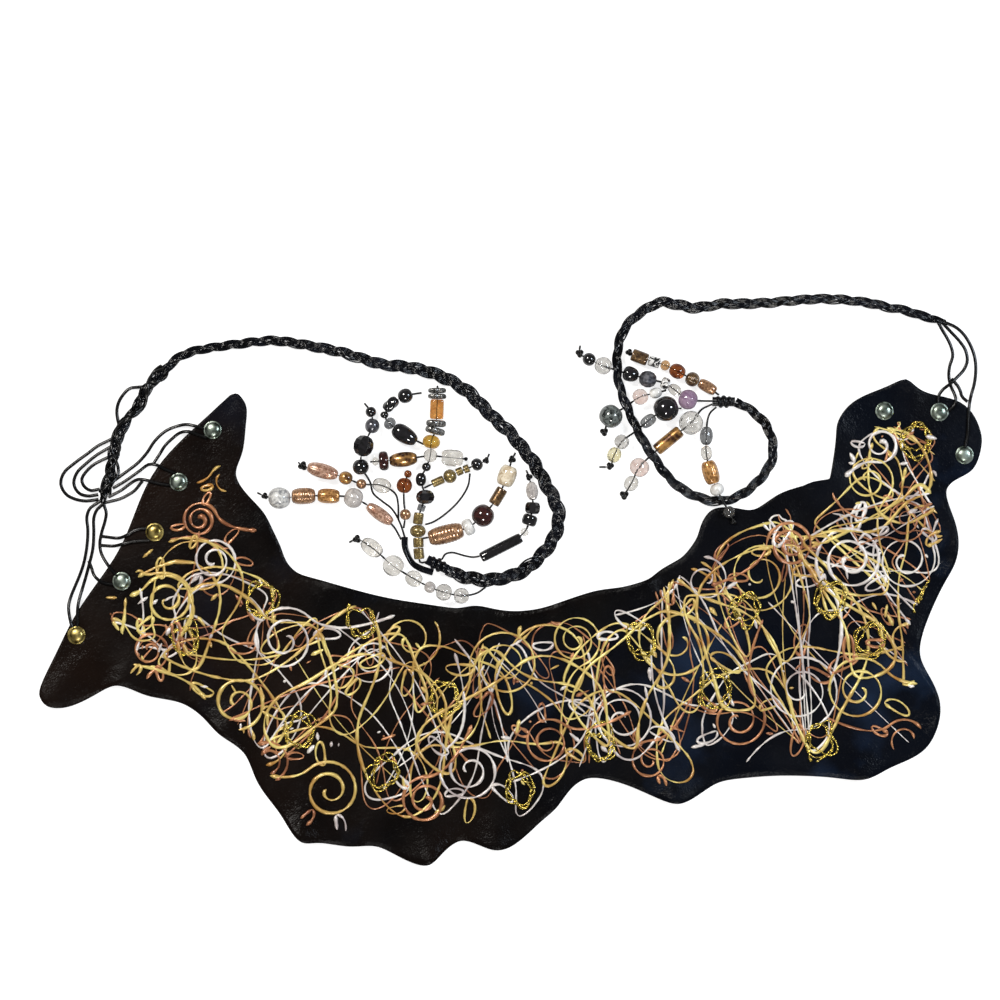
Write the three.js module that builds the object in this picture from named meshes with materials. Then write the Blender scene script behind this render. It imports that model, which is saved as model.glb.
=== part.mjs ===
import * as THREE from 'three';

// A leather hip sash with beaded ties, laid out flat. Millimetres, +Z up, and the floor is z = 0.
// The origin is the middle of the leather panel's outline.
//
// Every place below is read off a layout plan drawn 0.6 mm to a step, as [steps right, steps down] from
// the plan's top left corner. Heights and the sizes of things are in millimetres.
const PLAN_STEP = 0.6;
const PLAN_MIDDLE = { right: 510, down: 621.5 };

const GAP = 0.3; // between two pieces that touch
const LEATHER = 2; // thickness of the panel
const LACE = 2; // round leather lace, across
const THREAD = 1.2; // waxed cord inside the bead strands, across
const CAP = { across: 11, rim: 0.7, dome: 2.6, sides: 10 };
const TIE_FLATNESS = 0.66; // a plait's height as a share of its width

const leather = new THREE.MeshStandardMaterial({ color: 0x15120f, roughness: 0.55, metalness: 0 });
const lacing = new THREE.MeshStandardMaterial({ color: 0x0b0b0d, roughness: 0.35, metalness: 0 });
const silver = new THREE.MeshStandardMaterial({ color: 0xc4c7c2, roughness: 0.25, metalness: 1 });
const brass = new THREE.MeshStandardMaterial({ color: 0xb99a56, roughness: 0.3, metalness: 1 });
const amberGlass = new THREE.MeshStandardMaterial({ color: 0xa9682c, roughness: 0.15, metalness: 0 });
const clearGlass = new THREE.MeshStandardMaterial({ color: 0xdcdcd6, roughness: 0.1, metalness: 0 });
const blackGlass = new THREE.MeshStandardMaterial({ color: 0x161214, roughness: 0.12, metalness: 0 });

const sash = new THREE.Group();

function plan([right, down], height = 0) {
  return new THREE.Vector3(
    (right - PLAN_MIDDLE.right) * PLAN_STEP,
    (PLAN_MIDDLE.down - down) * PLAN_STEP,
    height,
  );
}

function add(name, geometry, material) {
  const mesh = new THREE.Mesh(geometry, material);
  mesh.name = name;
  sash.add(mesh);
}

function curveThrough(points) {
  return new THREE.CatmullRomCurve3(points, false, 'centripetal');
}

// The leather panel. Each rung is a line across it, from the waist edge to the hip edge, and there is one
// wherever an edge peaks, dips or turns. The two laced ends have outlines of their own.
const RUNGS = [
  { waist: [236, 390], hip: [38, 690] },
  { waist: [247, 405], hip: [47, 706] },
  { waist: [246, 425], hip: [70, 707] },
  { waist: [243, 453], hip: [97, 694] },
  { waist: [235, 474], hip: [118, 684] },
  { waist: [246, 493], hip: [146, 696] },
  { waist: [264, 512], hip: [180, 702] },
  { waist: [273, 530], hip: [201, 715] },
  { waist: [281, 547], hip: [219, 734] },
  { waist: [284, 556], hip: [245, 752] },
  { waist: [289, 565], hip: [257, 783] },
  { waist: [298, 573], hip: [281, 814] },
  { waist: [310, 577], hip: [300, 842] },
  { waist: [325, 581], hip: [320, 842] },
  { waist: [360, 591], hip: [350, 847] },
  { waist: [380, 596], hip: [376, 845] },
  { waist: [400, 600], hip: [398, 856] },
  { waist: [420, 603], hip: [428, 866] },
  { waist: [440, 606], hip: [444, 851] },
  { waist: [458, 608], hip: [463, 839] },
  { waist: [476, 605], hip: [492, 850] },
  { waist: [495, 609], hip: [513, 846] },
  { waist: [512, 611], hip: [540, 822] },
  { waist: [530, 610], hip: [557, 807] },
  { waist: [545, 607], hip: [572, 787] },
  { waist: [560, 602], hip: [590, 777] },
  { waist: [590, 592], hip: [625, 784] },
  { waist: [605, 589], hip: [655, 797] },
  { waist: [622, 587], hip: [678, 804] },
  { waist: [640, 582], hip: [698, 795] },
  { waist: [650, 578], hip: [718, 782] },
  { waist: [660, 570], hip: [745, 778] },
  { waist: [672, 563], hip: [780, 775] },
  { waist: [682, 557], hip: [830, 777] },
  { waist: [690, 548], hip: [864, 780] },
  { waist: [697, 537], hip: [890, 767] },
  { waist: [700, 527], hip: [926, 750] },
  { waist: [704, 518], hip: [940, 714] },
  { waist: [711, 510], hip: [934, 684] },
  { waist: [721, 507], hip: [918, 655] },
  { waist: [737, 508], hip: [927, 620] },
  { waist: [748, 510], hip: [943, 585] },
  { waist: [758, 508], hip: [954, 565] },
  { waist: [778, 494], hip: [958, 542] },
  { waist: [798, 488], hip: [954, 519] },
  { waist: [819, 491], hip: [945, 492] },
  { waist: [828, 482], hip: [953, 481] },
  { waist: [831, 470], hip: [972, 471] },
  { waist: [835, 444], hip: [980, 453] },
  { waist: [836, 422], hip: [982, 437] },
];
const LEFT_END = [
  [236, 390], [220, 401], [209, 415], [191, 431], [164, 456], [148, 478], [137, 496], [134, 521],
  [126, 542], [103, 575], [77, 610], [62, 640], [50, 670], [38, 690],
];
const RIGHT_END = [
  [836, 422], [841, 411], [858, 397], [883, 389], [903, 377], [911, 379], [920, 392], [946, 397],
  [960, 400], [974, 413], [982, 437],
];
const PANEL_STEPS = { rung: 2, across: 9 };
const END_REACH = 6; // how fast an end's outline fades into the straight rungs beside it

// Where the cut edge curls off the floor: how high, and how far the curl spreads.
const CURLS = [
  { at: [46, 700], lift: 5, spread: 22 },
  { at: [118, 684], lift: 2, spread: 14 },
  { at: [237, 390], lift: 4, spread: 15 },
  { at: [222, 735], lift: 3, spread: 20 },
  { at: [300, 842], lift: 4, spread: 22 },
  { at: [362, 846], lift: 1.5, spread: 16 },
  { at: [428, 866], lift: 4.5, spread: 22 },
  { at: [495, 850], lift: 3, spread: 18 },
  { at: [556, 808], lift: 2.5, spread: 18 },
  { at: [678, 804], lift: 4, spread: 22 },
  { at: [780, 776], lift: 2, spread: 26 },
  { at: [870, 778], lift: 3, spread: 20 },
  { at: [940, 712], lift: 4.5, spread: 22 },
  { at: [918, 655], lift: 1.5, spread: 12 },
  { at: [957, 545], lift: 4, spread: 22 },
  { at: [906, 378], lift: 3, spread: 14 },
  { at: [836, 430], lift: 2.5, spread: 16 },
  { at: [800, 489], lift: 1.5, spread: 14 },
  { at: [640, 582], lift: 1.5, spread: 14 },
  { at: [470, 606], lift: 2, spread: 16 },
  { at: [340, 586], lift: 1.5, spread: 16 },
];

function curlAt(x, y) {
  let height = 0;
  for (const { at, lift, spread } of CURLS) {
    const middle = plan(at);
    const share = Math.hypot(x - middle.x, y - middle.y) / spread;
    if (share < 1) height = Math.max(height, (lift * (1 + Math.cos(Math.PI * share))) / 2);
  }
  return height;
}

// The highest leather under a round thing.
function panelTopUnder(at, radius) {
  const middle = plan(at);
  let height = 0;
  for (let angle = 0; angle < 2 * Math.PI; angle += Math.PI / 6) {
    const x = middle.x + radius * Math.cos(angle);
    const y = middle.y + radius * Math.sin(angle);
    height = Math.max(height, curlAt(x, y));
  }
  return LEATHER + height;
}

function panelGrid() {
  const waist = curveThrough(RUNGS.map((rung) => plan(rung.waist)));
  const hip = curveThrough(RUNGS.map((rung) => plan(rung.hip)));
  const left = curveThrough(LEFT_END.map((place) => plan(place)));
  const right = curveThrough(RIGHT_END.map((place) => plan(place)));
  const along = (RUNGS.length - 1) * PANEL_STEPS.rung;
  const grid = [];
  for (let i = 0; i <= along; i += 1) {
    const u = i / along;
    const from = waist.getPoint(u);
    const to = hip.getPoint(u);
    const row = [];
    for (let j = 0; j <= PANEL_STEPS.across; j += 1) {
      const v = j / PANEL_STEPS.across;
      const straight = from.clone().lerp(to, v);
      const leftOff = left.getPointAt(v).sub(waist.getPoint(0).lerp(hip.getPoint(0), v));
      const rightOff = right.getPointAt(v).sub(waist.getPoint(1).lerp(hip.getPoint(1), v));
      straight.addScaledVector(leftOff, (1 - u) ** END_REACH);
      straight.addScaledVector(rightOff, u ** END_REACH);
      row.push(straight);
    }
    grid.push(row);
  }
  return grid;
}

function wallFromGrid(grid, thickness) {
  const rows = grid.length;
  const columns = grid[0].length;
  const positions = [];
  for (const rise of [0, thickness]) {
    for (const row of grid) {
      for (const point of row) positions.push(point.x, point.y, curlAt(point.x, point.y) + rise);
    }
  }
  const layer = rows * columns;
  const lower = (i, j) => i * columns + j;
  const upper = (i, j) => layer + lower(i, j);
  const faces = [];
  for (let i = 0; i < rows - 1; i += 1) {
    for (let j = 0; j < columns - 1; j += 1) {
      faces.push(lower(i, j), lower(i + 1, j), lower(i, j + 1));
      faces.push(lower(i + 1, j), lower(i + 1, j + 1), lower(i, j + 1));
      faces.push(upper(i, j), upper(i, j + 1), upper(i + 1, j));
      faces.push(upper(i + 1, j), upper(i, j + 1), upper(i + 1, j + 1));
    }
  }
  const rim = [];
  for (let i = 0; i < rows - 1; i += 1) rim.push([i, 0]);
  for (let j = 0; j < columns - 1; j += 1) rim.push([rows - 1, j]);
  for (let i = rows - 1; i > 0; i -= 1) rim.push([i, columns - 1]);
  for (let j = columns - 1; j > 0; j -= 1) rim.push([0, j]);
  rim.forEach(([i, j], index) => {
    const [nextI, nextJ] = rim[(index + 1) % rim.length];
    faces.push(lower(i, j), upper(i, j), lower(nextI, nextJ));
    faces.push(upper(i, j), upper(nextI, nextJ), lower(nextI, nextJ));
  });
  const geometry = new THREE.BufferGeometry();
  geometry.setAttribute('position', new THREE.Float32BufferAttribute(positions, 3));
  geometry.setIndex(faces);
  return geometry;
}

function addPanel() {
  add('leather_panel', wallFromGrid(panelGrid(), LEATHER), leather);
}

// Domed caps, pressed on where the laces pass through the leather.
const CAPS = [
  { name: 'cap_left_1', at: [213, 430], metal: silver },
  { name: 'cap_left_2', at: [179, 482], metal: silver },
  { name: 'cap_left_3', at: [155, 532], metal: brass },
  { name: 'cap_left_4', at: [122, 581], metal: silver },
  { name: 'cap_left_5', at: [77, 635], metal: brass },
  { name: 'cap_right_1', at: [884, 411], metal: silver },
  { name: 'cap_right_2', at: [939, 412], metal: silver },
  { name: 'cap_right_3', at: [964, 455], metal: silver },
];

function addCaps() {
  const radius = CAP.across / 2;
  const outline = [
    [0, 0],
    [radius, 0],
    [radius, CAP.rim],
    [radius * 0.8, CAP.rim + CAP.dome * 0.5],
    [radius * 0.45, CAP.rim + CAP.dome * 0.88],
    [0, CAP.rim + CAP.dome],
  ].map(([x, y]) => new THREE.Vector2(x, y));
  for (const { name, at, metal } of CAPS) {
    const dome = new THREE.LatheGeometry(outline, CAP.sides);
    dome.rotateX(Math.PI / 2);
    const seat = plan(at, panelTopUnder(at, radius) + GAP);
    dome.translate(seat.x, seat.y, seat.z);
    add(name, dome, metal);
  }
}

// Laces of one thickness. Each row is [steps right, steps down, height of the lace's middle].
const FLOOR = LACE / 2 + 0.2;
const ON_LEATHER = LEATHER + GAP + LACE / 2 + 0.1;
const LACES = {
  lace_left_1a: [
    [202, 428, ON_LEATHER], [195, 426, ON_LEATHER], [187, 424.5, 2.4], [178, 426, FLOOR], [166, 431, FLOOR],
    [155, 441, FLOOR], [147, 453, FLOOR], [138, 463, FLOOR], [129, 470, FLOOR], [119.5, 477, FLOOR],
  ],
  lace_left_1b: [
    [205, 437, ON_LEATHER], [197, 434, ON_LEATHER], [188, 431.5, ON_LEATHER], [180, 433, 2.2],
    [172, 439, FLOOR], [165, 446, FLOOR], [160, 454, FLOOR],
  ],
  lace_left_2a: [
    [174, 472.5, ON_LEATHER], [165, 469, ON_LEATHER], [157, 465, ON_LEATHER], [149, 464.5, 2.3],
    [141, 470, FLOOR], [132, 476.5, FLOOR], [124, 482, FLOOR], [118, 485.5, FLOOR],
  ],
  lace_left_2b: [
    [168.5, 485, ON_LEATHER], [157, 483, ON_LEATHER], [146, 480, ON_LEATHER], [138, 479.5, 2.2],
    [130, 484, FLOOR], [122, 490, FLOOR], [113.6, 494.6, FLOOR],
  ],
  lace_left_2c: [
    [135, 490.5, FLOOR], [129, 494.5, FLOOR], [120, 499, FLOOR], [109.9, 501.6, FLOOR],
  ],
  lace_left_3a: [
    [144.5, 528.5, ON_LEATHER], [139, 529, ON_LEATHER], [134, 531, ON_LEATHER], [127.5, 535, ON_LEATHER],
    [119, 538, FLOOR], [105.6, 536.8, FLOOR],
  ],
  lace_left_3b: [
    [148, 540.5, ON_LEATHER], [139, 541, ON_LEATHER], [130, 542, ON_LEATHER], [123, 544, ON_LEATHER],
    [114, 546, FLOOR], [104.8, 545.6, FLOOR],
  ],
  lace_left_4a: [
    [115, 573, ON_LEATHER], [110, 567, ON_LEATHER], [105, 560, 2.4], [101, 552, FLOOR], [100, 543, FLOOR],
    [102, 532, FLOOR], [105, 522, FLOOR], [106.5, 513, FLOOR], [105, 507.5, FLOOR],
  ],
  lace_left_4b: [
    [111.5, 584, ON_LEATHER], [105, 583, ON_LEATHER], [98, 579, ON_LEATHER], [93.8, 574, 2.6],
    [92.5, 570, FLOOR],
  ],
  lace_left_5a: [
    [72, 624.5, ON_LEATHER], [70, 616, ON_LEATHER], [69, 606, 2.3], [71, 597, FLOOR], [75, 587, FLOOR],
    [80, 575, FLOOR], [84, 563, FLOOR], [87, 547, FLOOR], [88, 530, FLOOR], [87, 517, FLOOR],
    [90, 508.6, FLOOR], [96.4, 503.8, FLOOR],
  ],
  lace_left_5b: [
    [78, 624, ON_LEATHER], [78, 615, ON_LEATHER], [78.5, 606, ON_LEATHER], [80, 598, 2.4],
    [82.5, 589, FLOOR], [86, 577, FLOOR], [89.5, 564, FLOOR], [93, 549, FLOOR], [94, 532, FLOOR],
    [94, 518, FLOOR], [97, 510, FLOOR], [100, 507, FLOOR],
  ],
  lace_loop_1: [
    [96.8, 499.8, FLOOR], [86, 501, FLOOR], [75, 499, FLOOR], [66, 494, FLOOR], [61, 484, FLOOR],
    [64, 473, FLOOR], [75, 463, FLOOR], [88, 453.5, FLOOR], [98, 446, FLOOR], [109.6, 440.2, FLOOR],
  ],
  lace_loop_2: [
    [96.5, 495, FLOOR], [88, 496, FLOOR], [79, 493, FLOOR], [74, 484, FLOOR], [77, 473, FLOOR],
    [87, 463, FLOOR], [97, 455, FLOOR], [104.5, 450.5, FLOOR],
  ],
  lace_loop_3: [
    [98, 489.5, FLOOR], [91, 490.5, FLOOR], [84, 486, FLOOR], [82, 479, FLOOR], [87, 471, FLOOR],
    [95, 464, FLOOR], [105.2, 458.8, FLOOR],
  ],
  lace_slack: [
    [118.6, 422.8, FLOOR], [117, 411, FLOOR], [119, 402, FLOOR], [124, 394, FLOOR], [130, 388.5, FLOOR],
    [141.6, 387, FLOOR],
  ],
  lace_right_a: [
    [937.5, 400.5, ON_LEATHER], [938, 396, ON_LEATHER], [942, 390, 3.6], [949.5, 384, 3.5], [957, 377, 2.4],
    [963.5, 370, FLOOR], [967, 361, FLOOR], [965, 350, FLOOR], [959, 341, FLOOR], [952, 333.5, FLOOR],
    [946.3, 327.4, FLOOR],
  ],
  lace_right_b: [
    [949.5, 409.5, ON_LEATHER], [954, 405, ON_LEATHER], [955, 399, ON_LEATHER], [953.5, 393, 2],
    [950.5, 386, FLOOR], [948.5, 376, FLOOR], [949.5, 366, FLOOR], [952.5, 356, FLOOR],
    [950.5, 346, FLOOR], [945.5, 336, FLOOR], [941.5, 329.5, FLOOR],
  ],
  lace_right_c: [
    [961.5, 396.5, FLOOR], [960, 391, FLOOR], [957.5, 386, FLOOR], [955, 383, FLOOR],
  ],
  lace_right_d: [
    [965, 445, ON_LEATHER], [967, 433, ON_LEATHER], [967.5, 420, ON_LEATHER], [968, 411, ON_LEATHER],
    [969, 403, 3], [971, 395, FLOOR], [974, 384, FLOOR], [975.5, 371, FLOOR], [974.5, 358, FLOOR],
    [970, 345, FLOOR], [963, 334, FLOOR], [955, 327, FLOOR], [944.2, 322.3, FLOOR],
  ],
};
const LACE_SIDES = 8;
const LACE_STRIDE = 7;

function roundSection(across) {
  const section = new THREE.Shape();
  for (let i = 0; i < LACE_SIDES; i += 1) {
    const angle = (2 * Math.PI * i) / LACE_SIDES;
    const x = (across / 2) * Math.cos(angle);
    const y = (across / 2) * Math.sin(angle);
    if (i === 0) section.moveTo(x, y);
    else section.lineTo(x, y);
  }
  section.closePath();
  return section;
}

function addLaces() {
  for (const [name, rows] of Object.entries(LACES)) {
    const route = curveThrough(rows.map(([right, down, height]) => plan([right, down], height)));
    const steps = Math.max(4, Math.round(route.getLength() / LACE_STRIDE));
    const tube = new THREE.ExtrudeGeometry(roundSection(LACE), { steps, extrudePath: route, curveSegments: 1 });
    add(name, tube, lacing);
  }
}

// A body of changing size along a level route: each ring has a middle, a direction, a width and a height.
const RING_SIDES = 8;

function loft(rings) {
  const positions = [];
  for (const { middle, ahead, wide, high } of rings) {
    const across = new THREE.Vector3(-ahead.y, ahead.x, 0).normalize();
    for (let side = 0; side < RING_SIDES; side += 1) {
      const angle = (2 * Math.PI * (side + 0.5)) / RING_SIDES;
      const point = middle.clone().addScaledVector(across, (wide / 2) * Math.cos(angle));
      positions.push(point.x, point.y, point.z + (high / 2) * Math.sin(angle));
    }
  }
  const first = rings[0].middle;
  const last = rings[rings.length - 1].middle;
  const firstIndex = rings.length * RING_SIDES;
  positions.push(first.x, first.y, first.z, last.x, last.y, last.z);
  const faces = [];
  for (let ring = 0; ring < rings.length - 1; ring += 1) {
    for (let side = 0; side < RING_SIDES; side += 1) {
      const next = (side + 1) % RING_SIDES;
      const a = ring * RING_SIDES + side;
      const b = ring * RING_SIDES + next;
      faces.push(a, b, a + RING_SIDES);
      faces.push(b, b + RING_SIDES, a + RING_SIDES);
    }
  }
  for (let side = 0; side < RING_SIDES; side += 1) {
    const next = (side + 1) % RING_SIDES;
    const end = (rings.length - 1) * RING_SIDES;
    faces.push(firstIndex, next, side);
    faces.push(firstIndex + 1, end + side, end + next);
  }
  const geometry = new THREE.BufferGeometry();
  geometry.setAttribute('position', new THREE.Float32BufferAttribute(positions, 3));
  geometry.setIndex(faces);
  return geometry;
}

// The two plaited ties. Each row is [steps right, steps down, width, height above the floor].
const TIES = {
  tie_left: [
    [103, 501, 6.2, 0], [105, 491, 6.4, 0], [109.5, 482, 6.4, 0], [112, 473, 6, 0], [111.5, 463, 6, 0],
    [113, 452, 6.2, 0], [118, 441, 6.2, 0], [123, 430, 6.2, 0], [129, 418, 6, 0], [136, 407, 6, 0],
    [144, 395, 6, 0], [155, 381, 6, 0], [167, 368, 6, 0], [180, 357, 6, 0], [195, 351, 6, 0],
    [215, 347.5, 6, 0], [240, 344, 6.2, 0], [268, 341, 6.4, 0], [292, 342.5, 6.8, 0], [315, 347, 7, 0],
    [340, 352, 7.2, 0], [360, 358, 7.4, 0], [380, 364, 7.8, 0], [405, 367, 8, 0], [430, 372.5, 8.4, 0],
    [452, 381.5, 8.8, 0], [468, 392, 9, 0], [483, 407, 9, 0], [498, 422, 9, 0], [512, 435.5, 9, 0],
    [524, 450, 9, 0], [535, 465, 9, 0], [544, 481, 9, 0], [553, 497, 9, 0], [558, 511, 9, 0],
    [558, 525, 9, 0], [553, 539, 9, 0], [545, 551, 9, 0], [533, 563, 9, 0], [520, 572, 9, 0],
    [503, 578, 9, 0], [486, 579.5, 9, 0], [468, 577.5, 9, 0], [456, 573.5, 8, 0], [448.5, 570, 7, 0],
  ],
  tie_right: [
    [943, 322, 5.6, 0], [934, 319.5, 6, 0], [920, 315.5, 6, 0], [904, 310.5, 6.2, 0], [886, 307, 6.4, 0],
    [868, 303, 6.4, 0], [846, 300, 6.4, 0], [820, 299, 6.4, 0], [796, 300.5, 6.4, 0], [770, 303, 6.6, 0],
    [744, 304, 6.8, 0], [722, 304, 7, 0], [704, 307, 7.2, 0], [689, 307.5, 7.4, 0], [674, 304, 7.4, 0],
    [661, 302.5, 7, 0], [647, 309, 6.8, 0], [634, 318, 6.6, 0], [624, 330, 6.4, 0], [619, 343, 6.4, 1.4],
    [617, 356, 6.2, 2.4], [617, 368, 6, 2.9], [618.5, 382, 6, 2.6], [622, 395, 6, 2.6], [626.5, 406, 6, 2.8],
    [631, 417, 6, 2.6], [637, 430, 6, 2.8], [643, 441, 6, 2.6], [650, 452.5, 6, 2.8], [658, 464, 6.2, 1.8],
    [668, 477, 6.4, 0], [681, 488.5, 6.4, 0], [695, 496, 6.4, 0], [710, 500.5, 6.4, 0],
    [725, 500.5, 6.2, 0], [741, 494.5, 6.4, 0], [756, 483, 6.4, 0], [768, 468, 6.4, 0], [773, 452, 6.4, 0],
    [771, 437, 6.4, 0], [764, 423, 6.4, 0], [753, 412, 6.2, 0], [743, 405.5, 6, 0], [736.5, 402.5, 6, 0],
  ],
};
const TIE_STRIDE = 7.5;

function addTies() {
  for (const [name, rows] of Object.entries(TIES)) {
    const route = curveThrough(
      rows.map(([right, down, wide, above]) => plan([right, down], above + (wide * TIE_FLATNESS) / 2)),
    );
    const widths = curveThrough(rows.map(([, , wide], index) => new THREE.Vector3(index, wide, 0)));
    const steps = Math.round(route.getLength() / TIE_STRIDE);
    const rings = [];
    for (let i = 0; i <= steps; i += 1) {
      const share = route.getUtoTmapping(i / steps);
      const wide = widths.getPoint(share).y;
      rings.push({
        middle: route.getPoint(share),
        ahead: route.getTangent(share),
        wide,
        high: wide * TIE_FLATNESS,
      });
    }
    add(name, loft(rings), lacing);
  }
}

// How wide a bead is along its length, as shares: place along, width.
const BEAD_FORMS = {
  round: [[-0.5, 0.3], [-0.33, 0.8], [0, 1], [0.33, 0.8], [0.5, 0.3]],
  barrel: [[-0.5, 0.55], [-0.27, 0.9], [0.27, 0.9], [0.5, 0.55]],
  tube: [[-0.5, 0.88], [0.5, 0.88]],
  spindle: [[-0.5, 0.35], [-0.2, 0.9], [0.2, 0.9], [0.5, 0.35]],
  drop: [[-0.5, 0.3], [-0.15, 0.75], [0.22, 1], [0.42, 0.7], [0.5, 0.35]],
  disc: [[-0.5, 0.6], [-0.2, 1], [0.2, 1], [0.5, 0.6]],
  knot: [[-0.5, 0.5], [0, 1], [0.5, 0.5]],
};

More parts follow.
